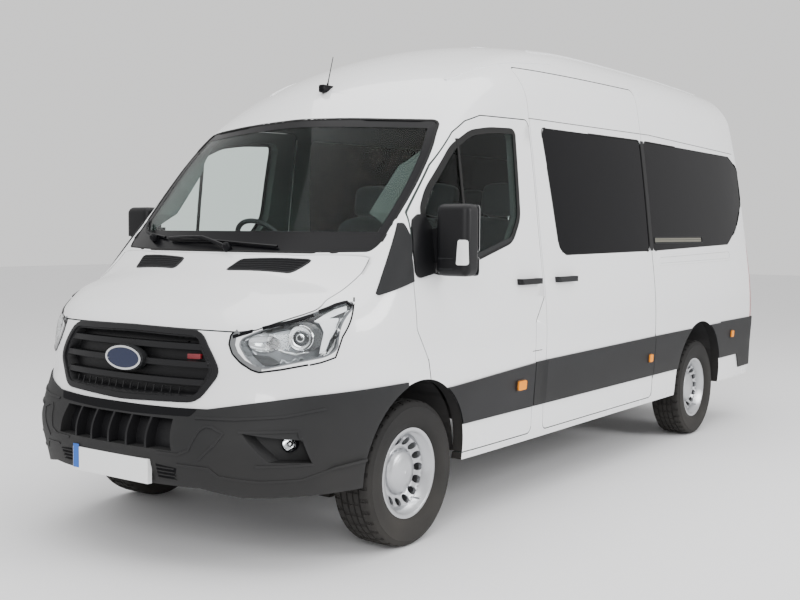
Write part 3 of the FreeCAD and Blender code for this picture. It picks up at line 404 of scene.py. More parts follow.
def resampled(path: Line, step: float, closed: bool = False) -> Line:
    """A line's points, with more between them so that no two are further apart than a step."""
    ends = [*path, path[0]] if closed else path
    places = []
    for start, end in zip(ends[:-1], ends[1:]):
        count = max(1, math.ceil(math.dist(start, end) / step))
        places += [between(start, end, k / count) for k in range(count)]
    return places if closed else [*places, path[-1]]


def rounded_loop(points: Line, radius: float, arc: int = 5) -> Line:
    """A closed outline with its corners rounded.

    Args:
        points: the corners.
        radius: the largest radius, less where a side is short.
        arc: the points in each corner.

    Returns:
        The rounded outline.
    """
    out = []
    for i, corner in enumerate(points):
        here = Vector(corner)
        before, after = Vector(points[i - 1]) - here, Vector(points[(i + 1) % len(points)]) - here
        reach = min(radius, before.length * 0.48, after.length * 0.48)
        start, end = here + before.normalized() * reach, here + after.normalized() * reach
        for k in range(arc):
            t = k / (arc - 1)
            out.append(tuple(start * (1 - t) ** 2 + here * (2 * t * (1 - t)) + end * t ** 2))
    return out


def grown_loop(points: Line, reach: float) -> Line:
    """A closed outline moved outwards by a reach, or inwards where it is negative."""
    count = len(points)
    area = sum(points[i - 1][0] * points[i][1] - points[i][0] * points[i - 1][1] for i in range(count))
    out = []
    for i in range(count):
        before, here, after = Vector(points[i - 1]), Vector(points[i]), Vector(points[(i + 1) % count])
        first, second = here - before, after - here
        if first.length < 1e-7 or second.length < 1e-7:
            first = second = after - before
        normal = Vector((first.y, -first.x)).normalized()
        middle = (normal + Vector((second.y, -second.x)).normalized()).normalized()
        stretch = math.copysign(reach, reach * area) / max(0.5, middle.dot(normal))
        out.append(tuple(here + middle * stretch))
    return out


def mirrored(points: Line) -> Line:
    """A whole front outline, from a half that starts and ends on the middle."""
    return [*points, *((-x, z) for x, z in reversed(points) if abs(x) > 1e-6)]


def aft(line: Line) -> Line:
    """A side outline that is given from the front axle, in the frame's own place."""
    return [(FRONT_AXLE + y, z) for y, z in line]


def join_rings(shape: Mesh, rings: list[list[bmesh.types.BMEdge]], closed: bool = False) -> None:
    """Bridge rings of edges one after another, and close the line on itself or fill its ends."""
    for first, second in zip(rings, rings[1:] + rings[:1] if closed else rings[1:]):
        bmesh.ops.bridge_loops(shape, edges=first + second)
    if not closed:
        for ring in (rings[0], rings[-1]):
            bmesh.ops.edgeloop_fill(shape, edges=ring)


def tube(name: str, points: list[Vector], radii: list[float], look: Look, sides: int) -> None:
    """A round bar through a line of points, with a radius at each."""
    shape = bmesh.new()
    rings = []
    for i, at in enumerate(points):
        heading = points[min(i + 1, len(points) - 1)] - points[max(i - 1, 0)]
        made = bmesh.ops.create_circle(shape, segments=sides, radius=radii[i], matrix=aimed(at, heading))
        verts = set(made["verts"])
        rings.append([e for e in shape.edges if e.verts[0] in verts and e.verts[1] in verts])
    join_rings(shape, rings)
    finish_mesh(name, shape, look)


def aimed(at: Vector, heading: Vector) -> Matrix:
    """The place of an axis that starts at a point and runs along a heading."""
    return Matrix.Translation(at) @ heading.to_track_quat("Z", "Y").to_matrix().to_4x4()


def turned(shape: Mesh, profile: Line, place: Matrix, steps: int = 32) -> None:
    """Turn a profile about an axis.

    Args:
        shape: the mesh it is added to.
        profile: radius and reach of each point.
        place: where the axis, its own Z, stands.
        steps: the turn's steps.
    """
    verts = [shape.verts.new(Vector((max(r, 1e-5), 0.0, h))) for r, h in profile]
    edges = [shape.edges.new((verts[i], verts[i + 1])) for i in range(len(verts) - 1)]
    bmesh.ops.spin(shape, geom=verts + edges, cent=(0, 0, 0), axis=(0, 0, 1), dvec=(0, 0, 0), angle=math.tau,
                   steps=steps, use_merge=True)
    fresh = [v for v in shape.verts if not v.tag]
    bmesh.ops.transform(shape, matrix=place, verts=fresh)
    for vert in fresh:
        vert.tag = True


def spun(name: str, look: Look, place: Matrix, profile: Line, steps: int = 32, body: str = "body") -> None:
    """A piece turned from one profile of radius and reach."""
    shape = bmesh.new()
    turned(shape, profile, place, steps)
    finish_mesh(name, shape, look, body)


def block(shape: Mesh, low: Triple, high: Triple, ease: float, segments: int = 2) -> None:
    """A box between two corners, with eased edges.

    Args:
        shape: the mesh it is added to.
        low: the lowest corner.
        high: the highest corner.
        ease: the edges' radius.
        segments: the steps in each edge.
    """
    a, b = Vector(low), Vector(high)
    place = Matrix.Translation((a + b) / 2) @ Matrix.Diagonal((*(b - a), 1.0))
    made = bmesh.ops.create_cube(shape, size=1.0, matrix=place)["verts"]
    edges = list({e for v in made for e in v.link_edges})
    bmesh.ops.bevel(shape, geom=edges, offset=ease, offset_type="OFFSET", affect="EDGES", segments=segments,
                    profile=0.5, material=-1)
    for vert in shape.verts:
        vert.tag = True


def rectangle(low: Point, high: Point) -> Line:
    """The corners of a rectangle."""
    return [low, (high[0], low[1]), high, (low[0], high[1])]


@dataclass(frozen=True)
class Skin:
    """The outside of some rigid nodes, on which the left side's outlines are laid, on either side."""

    tree: BVHTree
    view: View
    side: Side
    body: str

    @classmethod
    def of(cls, frame: dict, nodes: str, view: View = View.FRONT, side: Side = Side.LEFT,
           body: str = "body") -> Skin:
        """Merge the nodes' triangles into one search tree.

        Args:
            nodes: the nodes' names, with {} for the side.
            view: the direction that outlines are laid from.
            side: the side that they are moved to.
            body: the body that the pieces ride on, with {} for the side.

        Returns:
            The skin.
        """
        shape = bmesh.new()
        for name in nodes.split():
            shape.from_mesh(frame["nodes"][name.format(side.word)].data)
        tree = BVHTree.FromBMesh(shape)
        shape.free()
        return cls(tree, view, side, body.format(side.word))

    def placed(self, line: Line) -> Line:
        """A left outline on this skin's side; one seen from the side is the same on both."""
        sign = 1 if self.view in (View.LEFT, View.RIGHT) else self.side.value
        return [(a * sign, b) for a, b in line]

    def cast(self, a: float, b: float) -> tuple[float, Vector] | None:
        """The distance and the outward normal of the first hit from a place in the outline."""
        heading = self.view.heading
        _, normal, _, depth = self.tree.ray_cast(self.view.start(a, b), heading)
        if normal is None:
            return None
        return depth, (normal if normal.dot(heading) < 0 else -normal)

    def drop(self, a: float, b: float) -> tuple[Vector, Vector]:
        """The place on the skin under a point of the outline, also across a panel gap, and its normal."""
        best = self.cast(a, b)
        for da, db in ((PANEL_GAP, 0.0), (-PANEL_GAP, 0.0), (0.0, PANEL_GAP), (0.0, -PANEL_GAP)):
            near = self.cast(a + da, b + db)
            if near and (best is None or near[0] < best[0] - GAP_DEPTH):
                best = near
        start, heading = self.view.start(a, b), self.view.heading
        if best is None:
            at, normal, _, _ = self.tree.find_nearest(start + heading * NEAR_SEARCH)
            return at, normal
        return start + heading * best[0], best[1]

    def patch(self, name: str, loops: Sequence[Line], look: Look, lift: float = 0.001, thick: float = 0.003,
              step: float = 0.04, flat: bool = False) -> None:
        """A sheet cut to an outline, with or without a hole, laid on the skin and thickened.

        Args:
            name: the piece's name, with {} for the side.
            loops: the outline, and the hole's outline with as many points.
            look: its material.
            lift: how far its outer face stands off the skin.
            thick: its thickness, inwards.
            step: the largest spacing of its points.
            flat: whether it keeps one depth, that of its middle.
        """
        shape = bmesh.new()
        rings = []
        for loop in loops:
            verts = [shape.verts.new(Vector((a, b, 0.0))) for a, b in self.placed(loop)]
            rings.append([shape.edges.new((verts[i - 1], verts[i])) for i in range(len(verts))])
        if len(rings) == 1:
            shape.faces.new(shape.verts[:])
        else:
            bmesh.ops.bridge_loops(shape, edges=rings[0] + rings[1])
        for axis in (0, 1):
            low, high = (pick(v.co[axis] for v in shape.verts) for pick in (min, max))
            count = int((high - low) / step) + 1
            normal = Vector((1.0 - axis, float(axis), 0.0))
            for k in range(1, count):
                geom = shape.verts[:] + shape.edges[:] + shape.faces[:]
                bmesh.ops.bisect_plane(shape, geom=geom, dist=0.00005, plane_no=normal,
                                       plane_co=normal * (low + (high - low) * k / count))
        heading = self.view.heading
        mean = sum((v.co for v in shape.verts), Vector()) / len(shape.verts)
        middle = self.drop(mean.x, mean.y)[0].dot(heading)
        normals = {}
        for vert in shape.verts:
            at, normal = self.drop(vert.co.x, vert.co.y)
            if flat:
                at, normal = at + heading * (middle - at.dot(heading)), -heading
            vert.co = at + normal * lift
            normals[spot(vert)] = normal
        skin = shape.faces[:]
        shape.normal_update()
        if sum((f.normal * f.calc_area() for f in skin), Vector()).dot(heading) > 0:
            bmesh.ops.reverse_faces(shape, faces=skin)
        for item in bmesh.ops.extrude_face_region(shape, geom=skin)["geom"]:
            if isinstance(item, bmesh.types.BMVert):
                item.co = item.co - normals[spot(item)] * thick
        finish_mesh(name.format(self.side.word), shape, look, self.body)

    def rib(self, name: str, path: Line, look: Look, width: float, height: float, closed: bool = False,
            step: float = 0.03, lift: float = 0.0, rounded: bool = True) -> None:
        """A strip that follows a line over the skin.

        Args:
            name: the piece's name, with {} for the side.
            path: the line's points in the flat outline.
            look: its material.
            width: the strip's width.
            height: how far it stands up.
            closed: whether the line closes on itself.
            step: the largest spacing of its points.
            lift: how far its foot stands off the skin.
            rounded: whether its outer corners are eased.
        """
        half, edge, foot = width / 2, min(width, height) * 0.3, -0.002
        section = [(-half, foot), (-half, height), (half, height), (half, foot)]
        if rounded:
            section[1:3] = [(-half, height - edge), (-half + edge, height), (half - edge, height),
                            (half, height - edge)]
        spots = [self.drop(a, b) for a, b in resampled(self.placed(path), step, closed)]
        points = [at + normal * lift for at, normal in spots]
        shape = bmesh.new()
        rings = []
        for i, (_, normal) in enumerate(spots):
            ahead = points[(i + 1) % len(points)] if closed or i + 1 < len(points) else points[i]
            behind = points[i - 1] if closed or i > 0 else points[i]
            along = (ahead - behind).normalized()
            across = along.cross(normal).normalized()
            above = across.cross(along).normalized()
            verts = [shape.verts.new(points[i] + across * a + above * b) for a, b in section]
            rings.append([shape.edges.new((verts[k - 1], verts[k])) for k in range(len(verts))])
        join_rings(shape, rings, closed)
        finish_mesh(name.format(self.side.word), shape, look, self.body)


def spot(vert: bmesh.types.BMVert) -> tuple:
    """A corner's place, rounded so that it can be looked up."""
    return tuple(round(c, 6) for c in vert.co)


@dataclass
class CadSkins:
    """The rigid nodes, each shown as a merged, smoothly shaded copy of its own shape."""

    glass_angle: float = 12.0
    panel_angle: float = 28.0
    frame_foot: float = 1.36
    arch_reach: float = 0.56
    inward: float = 0.08
    frame_inward: float = 0.35
    arch_inward: float = 0.35

    def build(self, frame: dict) -> None:
        """Copy, merge and shade every node that has a look.
        """
        record = frame["record"]
        bodies = {node: body for body, nodes in record["behaviour"]["bodies"].items() for node in nodes}
        looks = {name.format(side.word): look for look, names in NODE_LOOKS.items() for name in names.split()
                 for side in Side}
        for node, look in looks.items():
            source = frame["nodes"][node]
            shape = bmesh.new()
            shape.from_mesh(source.data)
            bmesh.ops.remove_doubles(shape, verts=shape.verts, dist=CAD_MERGE)
            bmesh.ops.dissolve_degenerate(shape, edges=shape.edges, dist=CAD_MERGE)
            piece = linked(node + "_skin", shape, look)
            if look is WHITE:
                self.line(piece.data, node.startswith("front_door"))
            piece.matrix_world = source.matrix_world
            shade(piece, self.glass_angle if isinstance(look, Glass) else self.panel_angle)
            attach(piece, bodies[node])
            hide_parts(node)

    def line(self, mesh: bpy.types.Mesh, framed: bool) -> None:
        """Give a panel's inner faces the cabin's lining, and those round the wheels the underbody's paint.

        Args:
            mesh: the panel's mesh.
            framed: whether the edges of its window frame are lined too.
        """
        mesh.materials.append(LINING.build())
        mesh.materials.append(UNDER.build())
        for face in mesh.polygons:
            at, normal = face.center, face.normal
            middle = Vector((0.0, min(max(at.y, -1.2), 2.5), 1.5))
            if normal.dot((middle - at).normalized()) > self.inward:
                face.material_index = 1
            if framed and at.z > self.frame_foot and normal.x * math.copysign(1.0, at.x) < self.frame_inward:
                face.material_index = 1
            for axle in (FRONT_AXLE, REAR_AXLE):
                spoke = Vector((0.0, axle - at.y, WHEEL_RADIUS - at.z))
                if spoke.length < self.arch_reach and normal.dot(spoke.normalized()) > self.arch_inward:
                    face.material_index = 2


@dataclass
class Wheels:
    """Grooved tyres in place of the plain ones, with the valve of each wheel."""

    half_track: float = 0.869
    steps: int = 108
    groove: float = 0.0045
    valve_inset: float = 0.030
    valve_reach: float = 0.186
    profile: Line = (
        (0.2155, -0.084), (0.2225, -0.090), (0.236, -0.103), (0.262, -0.1105), (0.290, -0.1125), (0.318, -0.1105),
        (0.324, -0.1115), (0.327, -0.1085), (0.337, -0.1045), (0.3475, -0.098), (0.3530, -0.088), (0.3548, -0.072),
        (0.3552, -0.058), (0.3470, -0.056), (0.3470, -0.050), (0.3556, -0.048), (0.3560, -0.022),
        (0.3478, -0.020), (0.3478, -0.014), (0.3560, -0.012))

    def build(self, _: dict) -> None:
        """Dress the four wheels."""
        for end, y in (("front", FRONT_AXLE), ("rear", REAR_AXLE)):
            for side in Side:
                self.tyre(f"{end}_{side.word}", side, y)
                self.valve(f"{end}_{side.word}", side, y)

    def tyre(self, wheel: str, side: Side, y: float) -> None:
        """One tyre: a turned profile with grooves, and notches along its shoulders.

        Args:
            wheel: the wheel's name.
            side: its side.
            y: its axle's place.
        """
        shape = bmesh.new()
        turned(shape, [*self.profile, *((r, -h) for r, h in reversed(self.profile))], Matrix.Identity(4),
               self.steps)
        bmesh.ops.remove_doubles(shape, verts=shape.verts, dist=MERGE)
        bmesh.ops.recalc_face_normals(shape, faces=shape.faces)
        notches = []
        for face in shape.faces:
            middle = face.calc_center_median()
            turn = (math.degrees(math.atan2(middle.y, middle.x)) + 360.0) % 360.0
            row = int(turn / 360.0 * self.steps)
            reach, out = abs(middle.z), math.hypot(middle.x, middle.y)
            shoulder = 0.060 < reach < 0.100 and out > 0.345
            crown = reach < 0.047 and out > 0.3545
            if (shoulder and row % 3 == 0) or (crown and row % 3 == 1):
                notches.append(face)
        bmesh.ops.inset_individual(shape, faces=notches, thickness=0.0022, depth=-self.groove)
        place = aimed(Vector((self.half_track * side.value, y, WHEEL_RADIUS)), side.outwards)
        bmesh.ops.transform(shape, matrix=place, verts=shape.verts)
        piece = finish_mesh("tread_" + wheel, shape, TYRE, "wheel_" + wheel, 30.0)
        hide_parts("tyre_" + wheel)

    def valve(self, wheel: str, side: Side, y: float) -> None:
        """The valve beside the domed centre."""
        low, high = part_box("rim_" + wheel)
        face = high[0] if side is Side.LEFT else low[0]
        foot = Vector((face - side.value * self.valve_inset, y, WHEEL_RADIUS))
        foot += Vector((0.0, 0.60, -0.80)) * self.valve_reach
        spun("valve_" + wheel, SILVER, aimed(foot, side.outwards),
             [(0.0052, -0.020), (0.0052, 0.012), (0.0040, 0.016), (0.0, 0.017)], 12, "wheel_" + wheel)


@dataclass
class Seats:
    """The crowned cushions of every seat, on plain stands."""

    floor: float = 0.7027
    lean: float = math.radians(14.0)
    cab_front: float = -1.0863
    row_width: float = 0.43
    post_step: float = 0.07

    def build(self, _: dict) -> None:
        """Make the cab's seats and the four rows behind."""
        self.one("driver_seat", -0.430, 0.500, [0.0])
        self.one("front_passenger_seat", 0.330, 0.900, [-0.225, 0.225])
        places = [(x, FRONT_AXLE + share * (REAR_AXLE - FRONT_AXLE)) for share in (0.455, 0.650, 0.845, 1.040)
                  for x in (-0.640, -0.190, 0.620)]
        width = self.row_width
        pieces = [self.pillow("row_cushions", [self.base(x, y, width) for x, y in places]),
                  self.pillow("row_backs", [self.back(x, y, width) for x, y in places]),
                  self.pillow("row_heads", [self.head(x, y) for x, y in places])]
        shape = bmesh.new()
        for x, y in places:
            self.stand(shape, x, y, width)
            self.posts(shape, x, y)
        for piece in (*pieces, finish_mesh("row_stands", shape, CABIN)):
            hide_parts("rear_seats")

    def one(self, node: str, x: float, width: float, heads: list[float]) -> None:
        """A seat of the cab.

        Args:
            node: the plain seat that it stands for.
            x: its middle.
            width: its width.
            heads: its headrests' places from its middle.
        """
        front = self.cab_front
        pieces = [self.pillow(node + "_cushion", [self.base(x, front, width)]),
                  self.pillow(node + "_back", [self.back(x, front, width)]),
                  self.pillow(node + "_head", [self.head(x + dx, front) for dx in heads])]
        shape = bmesh.new()
        self.stand(shape, x, front, width)
        pieces.append(finish_mesh(node + "_stand", shape, CABIN))
        shape = bmesh.new()
        for dx in heads:
            self.posts(shape, x + dx, front)
        for piece in (*pieces, finish_mesh(node + "_posts", shape, CHROME)):
            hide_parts(node)

    def base(self, x: float, front: float, width: float) -> tuple[Matrix, Vector]:
        """A seat cushion's place and size."""
        return Matrix.Translation((x, front + 0.235, self.floor + 0.315)), Vector((width, 0.460, 0.135))

    def tilt(self, x: float, front: float) -> Matrix:
        """The turn about the back's foot, from upright to leaning."""
        pivot = Vector((x, front + 0.425, self.floor + 0.328))
        turn = Matrix.Rotation(-self.lean, 4, "X")
        return Matrix.Translation(pivot) @ turn @ Matrix.Translation(-pivot)

    def back(self, x: float, front: float, width: float) -> tuple[Matrix, Vector]:
        """A backrest's place and size."""
        middle = Matrix.Translation((x, front + 0.480, self.floor + 0.623))
        return self.tilt(x, front) @ middle, Vector((width, 0.115, 0.590))

    def head(self, x: float, front: float) -> tuple[Matrix, Vector]:
        """A headrest's place and size."""
        middle = Matrix.Translation((x, front + 0.473, self.floor + 1.048))
        return self.tilt(x, front) @ middle, Vector((0.250, 0.095, 0.190))

    def pillow(self, name: str, forms: list[tuple[Matrix, Vector]]) -> bpy.types.Object:
        """Crowned cushions with a sewn line along each.

        Args:
            name: the piece's name.
            forms: each cushion's place and size.

        Returns:
            The piece.
        """
        shape = bmesh.new()
        for place, size in forms:
            made = bmesh.ops.create_cube(shape, size=1.0)["verts"]
            edges = list({e for v in made for e in v.link_edges})
            bmesh.ops.subdivide_edges(shape, edges=edges, cuts=7, use_grid_fill=True)
            verts = [v for v in shape.verts if not v.tag]
            for vert in verts:
                p = vert.co * 2.0
                reach = sum(abs(c) ** 6 for c in p) ** (1 / 6)
                if reach > 1e-6:
                    p = p / reach * max(abs(c) for c in p)
                crown = 1.0 + 0.10 * (1 - p.x ** 2) * (1 - p.y ** 2) * (1 if abs(p.z) > 0.5 else 0)
                crown -= 0.04 * math.exp(-((abs(p.x) - 0.62) / 0.05) ** 2)
                vert.co = Vector((p.x * (1 - 0.03 * p.y ** 2), p.y * crown, p.z * crown)) * 0.5
                vert.tag = True
            bmesh.ops.transform(shape, matrix=place @ Matrix.Diagonal((*size, 1.0)), verts=verts)
        piece = finish_mesh(name, shape, CLOTH, smooth=60.0)
        modifier = piece.modifiers.new("round", "SUBSURF")
        modifier.levels = modifier.render_levels = 1
        return piece

    def stand(self, shape: Mesh, x: float, front: float, width: float) -> None:
        """A seat's box stand on the floor."""
        half = width * 0.12
        block(shape, (x - half, front + 0.06, self.floor), (x + half, front + 0.44, self.floor + 0.255), 0.02)

    def posts(self, shape: Mesh, x: float, front: float) -> None:
        """The two posts of a headrest."""
        turn = self.tilt(x, front)
        for dx in (-self.post_step, self.post_step):
            at = turn @ Vector((x + dx, front + 0.473, self.floor + 0.895))
            turned(shape, [(0.007, 0.0), (0.007, 0.075)], aimed(at, turn.to_3x3() @ Vector((0.0, 0.0, 1.0))), 12)


@dataclass
class Screen:
    """The windscreen's printed border, its seal and the wipers."""

    clear_low: float = 1.520
    clear_side: float = 0.045
    outline: Line = (
        (0.0, 1.419), (0.600, 1.419), (0.845, 1.425), (0.872, 1.460), (0.883, 1.751), (0.868, 1.930),
        (0.821, 2.081), (0.790, 2.097), (0.618, 2.103), (0.329, 2.119), (0.0, 2.130))

    def build(self, frame: dict) -> None:
        """Make the border, wide at the foot, the seal and two wipers."""
        skin = Skin.of(frame, "windscreen windscreen_frame bonnet fenders")
        outer = rounded_loop(mirrored(self.outline), 0.07)
        inner = [(x, max(z, self.clear_low)) for x, z in grown_loop(outer, -self.clear_side)]
        skin.patch("windscreen_border", [grown_loop(outer, -0.004), inner], replace(BLACK, slot="clear_glass"),
                   0.0008, 0.0012)
        skin.rib("windscreen_seal", outer, RUBBER, 0.014, 0.003, True)
        self.wiper(skin, "wiper_left", ((0.06, 1.425), (-0.14, 1.462), (-0.44, 1.466)), (0.36, 1.437))
        self.wiper(skin, "wiper_right", ((-0.60, 1.468), (-0.70, 1.492), (-0.79, 1.560)), (-0.50, 1.476))

    def wiper(self, skin: Skin, name: str, arm: Line, foot: Point) -> None:
        """A wiper at rest along the foot of the glass.

        Args:
            skin: the glass and what lies round it.
            name: the wiper's name.
            arm: its pivot, its elbow and its tip.
            foot: the blade's other end.
        """
        pivot, elbow, tip = arm
        spots = [skin.drop(*place) for place in resampled(arm, 0.05)]
        count = len(spots)
        tube(name + "_arm", [at + normal * (0.022 + 0.014 * math.sin(math.pi * k / (count - 1)))
                             for k, (at, normal) in enumerate(spots)],
             [0.011 - 0.005 * k / count for k in range(count)], BLACK, 8)
        line = resampled([foot, (elbow[0], elbow[1] + 0.004), tip], 0.04)
        laid = [at + normal * 0.012 for at, normal in (skin.drop(*place) for place in line)]
        tube(name + "_blade", laid, [0.0075] * len(laid), BLACK, 6)
        spun(name + "_cap", BLACK, aimed(*skin.drop(*pivot)),
             [(0.0, 0.045), (0.012, 0.044), (0.020, 0.034), (0.022, 0.0)], 16)


@dataclass
class SideGlass:
    """The rubber round the side windows, the front windows' bars and the sliding vent."""

    front: Line = (
        (-1.866, 1.340), (-1.877, 1.620), (-1.795, 1.735), (-1.555, 1.957), (-1.368, 2.045), (-1.169, 2.075),
        (-0.903, 2.089), (-0.936, 1.600), (-1.038, 1.474), (-1.439, 1.378), (-1.769, 1.315))
    waist: Line = ((-1.86, 1.352), (-1.769, 1.332), (-1.439, 1.395), (-1.046, 1.488))
    middle: Line = ((-0.591, 2.130), (0.834, 2.155), (0.834, 1.400), (-0.419, 1.389), (-0.498, 1.430))
    rear: Line = (
        (0.886, 2.155), (2.607, 2.149), (2.814, 2.059), (2.814, 1.760), (2.634, 1.559), (2.401, 1.436),
        (0.886, 1.400))

    def build(self, frame: dict) -> None:
        """Make the seals, bars and vents on both sides."""
        for side in Side:
            front = Skin.of(frame, "front_door_{} front_door_window_{}", side.view, side, "front_door_{}")
            front.rib("front_window_seal_{}", grown_loop(rounded_loop(self.front, 0.05), -0.006), RUBBER, 0.034,
                      0.004, True, lift=0.0005)
            front.rib("front_window_bar_{}", [(-1.503, 1.37), (-1.503, 2.00)], RUBBER, 0.022, 0.006)
            front.rib("front_window_waist_{}", self.waist, DARK, 0.020, 0.008)
            body = Skin.of(frame, side.door + " side_panel_{} privacy_windows", side.view, side)
            for name, outline in (("middle_window_seal_{}", self.middle), ("rear_window_seal_{}", self.rear)):
                body.rib(name, rounded_loop(outline, 0.05), RUBBER, 0.008, 0.001, True, 0.04)
            body.patch("window_bridge_{}", [rectangle((0.8355, 1.402), (0.8845, 2.153))],
                       replace(BLACK, slot="dark_glass"), 0.0018, 0.003, 0.022)
            body.rib("vent_frame_{}", rounded_loop([(0.930, 1.455), (1.845, 1.453), (1.845, 1.497),
                                                    (0.930, 1.493)], 0.014, 4), DARK, 0.008, 0.004, True, 0.05)
            body.patch("vent_pane_{}", [[(0.938, 1.462), (1.815, 1.462), (1.815, 1.490), (0.938, 1.488)]], VENT,
                       0.002, 0.002)
            body.rib("vent_rail_{}", [(0.942, 1.476), (1.811, 1.476)], DARK, 0.003, 0.0035)


@dataclass
class Nose:
    """The badge, the grille's ring and fine bars, and the bonnet's vents with painted shade in their openings."""

    badge_z: float = 0.934
    half_ring: Line = ((0.0, 1.071), (0.425, 1.064), (0.500, 0.960), (0.532, 0.899), (0.440, 0.774), (0.0, 0.757))
    side_badge: Line = ((0.338, 0.945), (0.420, 0.949), (0.422, 0.972), (0.338, 0.968))
    vent: Line = ((0.182, -2.424), (0.200, -2.338), (0.592, -2.262), (0.540, -2.360))

    def build(self, frame: dict) -> None:
        """Make the nose's small pieces."""
        grille = Skin.of(frame, "grille front_panel")
        rim, inner = self.oval(0.122, 0.056), self.oval(0.1098, 0.04704)
        for name, loops, look, lift, thick in (
                ("badge_foot", [self.oval(0.1281, 0.0616)], DARK, 0.012, 0.030),
                ("badge_rim", [rim, inner], CHROME, 0.021, 0.012), ("badge_face", [inner], BADGE, 0.017, 0.006),
                ("side_badge", [rounded_loop(self.side_badge, 0.004, 3)], RED_BADGE, 0.010, 0.012)):
            grille.patch(name, loops, look, lift, thick, 0.05, True)
        grille.rib("grille_ring", rounded_loop(mirrored(self.half_ring), 0.045), GRILLE, 0.028, 0.010, True)
        for k in range(15):
            x = -0.35 + 0.05 * k
            grille.rib(f"grille_upright_{k}", [(x, 0.795), (x, 0.825)], GRILLE, 0.004, 0.006)
        for side in Side:
            self.bonnet_vent(Skin.of(frame, "bonnet", View.TOP, side, "bonnet"))

    def oval(self, half_x: float, half_z: float) -> Line:
        """An oval round the badge's middle."""
        turns = [math.tau * k / 40 for k in range(40)]
        return [(half_x * math.cos(t), self.badge_z + half_z * math.sin(t)) for t in turns]

    def bonnet_vent(self, skin: Skin) -> None:
        """A vent near the rear of the bonnet: a near-black sheet of painted shade in a dark rim, with a fine
        lattice.
        """
        outline = rounded_loop(self.vent, 0.018, 3)
        # The near-black sheet is painted shade inside the vent's openings.
        skin.patch("bonnet_vent_{}", [outline], SEAM_AND_OPENING_SHADE, 0.002, 0.004)
        skin.rib("bonnet_vent_rim_{}", outline, DARK, 0.010, 0.004, True, 0.05)
        near_front, near_rear, far_rear, far_front = self.vent
        for k in range(1, 6):
            line = [between(near_front, near_rear, k / 6), between(far_front, far_rear, k / 6)]
            skin.rib(f"bonnet_vent_slat_{{}}_{k}", line, DARK, 0.004, 0.004)


@dataclass
class Bumper:
    """The fog lamps, the slots, each a near-black sheet of painted shade, and the folds of the front bumper."""

    fog: Triple = (0.815, 0.592, 0.036)
    slot: Line = ((0.0, 0.735), (0.467, 0.738), (0.440, 0.704), (0.124, 0.697), (0.0, 0.697))
    plate_slot: Line = ((0.290, 0.487), (0.400, 0.475), (0.375, 0.420), (0.290, 0.420))
    fold_field: Line = ((0.300, 0.541), (0.418, 0.541), (0.469, 0.563), (0.507, 0.652), (0.530, 0.668),
                        (0.559, 0.666), (0.613, 0.642), (0.583, 0.593), (0.512, 0.522))
    fog_frame: Line = ((0.672, 0.650), (0.868, 0.652), (0.900, 0.500), (0.735, 0.500))
    fold_low: Line = ((0.405, 0.494), (0.552, 0.487), (0.590, 0.450), (0.737, 0.430), (0.868, 0.433),
                      (0.949, 0.474), (1.000, 0.490))
    fold_band: Line = ((0.470, 0.700), (0.640, 0.702), (0.820, 0.715), (0.930, 0.742))

    def build(self, frame: dict) -> None:
        """Make the bumper's small pieces."""
        for side in Side:
            skin = Skin.of(frame, "front_bumper grille", side=side)
            self.fog_lamp(skin, side)
            for name in ("fold_field", "fog_frame", "fold_low", "fold_band"):
                skin.rib(name + "_{}", getattr(self, name), DARK, 0.012, 0.004)
            # A near-black sheet of painted shade inside the plate slot, under its fins.
            skin.patch("plate_slot_{}", [self.plate_slot], SEAM_AND_OPENING_SHADE)
            for k, z in enumerate((0.475, 0.458, 0.441, 0.424)):
                skin.rib(f"plate_slot_fin_{{}}_{k}", [(0.292, z), (0.388, z - 0.003)], DARK, 0.005, 0.007)
        # A near-black sheet of painted shade inside the band slot.
        Skin.of(frame, "front_bumper").patch("band_slot", [rounded_loop(mirrored(self.slot), 0.012, 3)], SEAM_AND_OPENING_SHADE,
                                             step=0.05)
        Skin.of(frame, "plates").patch("plate_band", [rectangle((-0.258, 0.405), (-0.217, 0.517))], BLUE, 0.0006,
                                       0.0008, 0.1, True)

    def fog_lamp(self, skin: Skin, side: Side) -> None:
        """A round lamp in the angular recess: its rim, bowl and lens."""
        x, z, radius = self.fog
        heading = Vector((0.35 * side.value, -1.0, 0.0)).normalized()
        place = aimed(skin.drop(x * side.value, z)[0] + heading * 0.001, heading)
        for name, look, shares in (
                ("rim", BLACK, ((1.0, 0.0), (1.0, 0.030), (0.94, 0.034), (0.84, 0.030), (0.80, 0.010),
                                (0.0, 0.004))),
                ("bowl", CHROME, ((0.78, 0.028), (0.60, 0.014), (0.34, 0.006), (1 / 6, 0.004), (1 / 6, 0.018),
                                  (0.0, 0.020))),
                ("lens", LENS, ((0.83, 0.0285), (0.60, 0.034), (0.3, 0.037), (0.0, 0.038)))):
            spun(f"fog_{name}_{side.word}", look, place, [(radius * share, reach) for share, reach in shares])


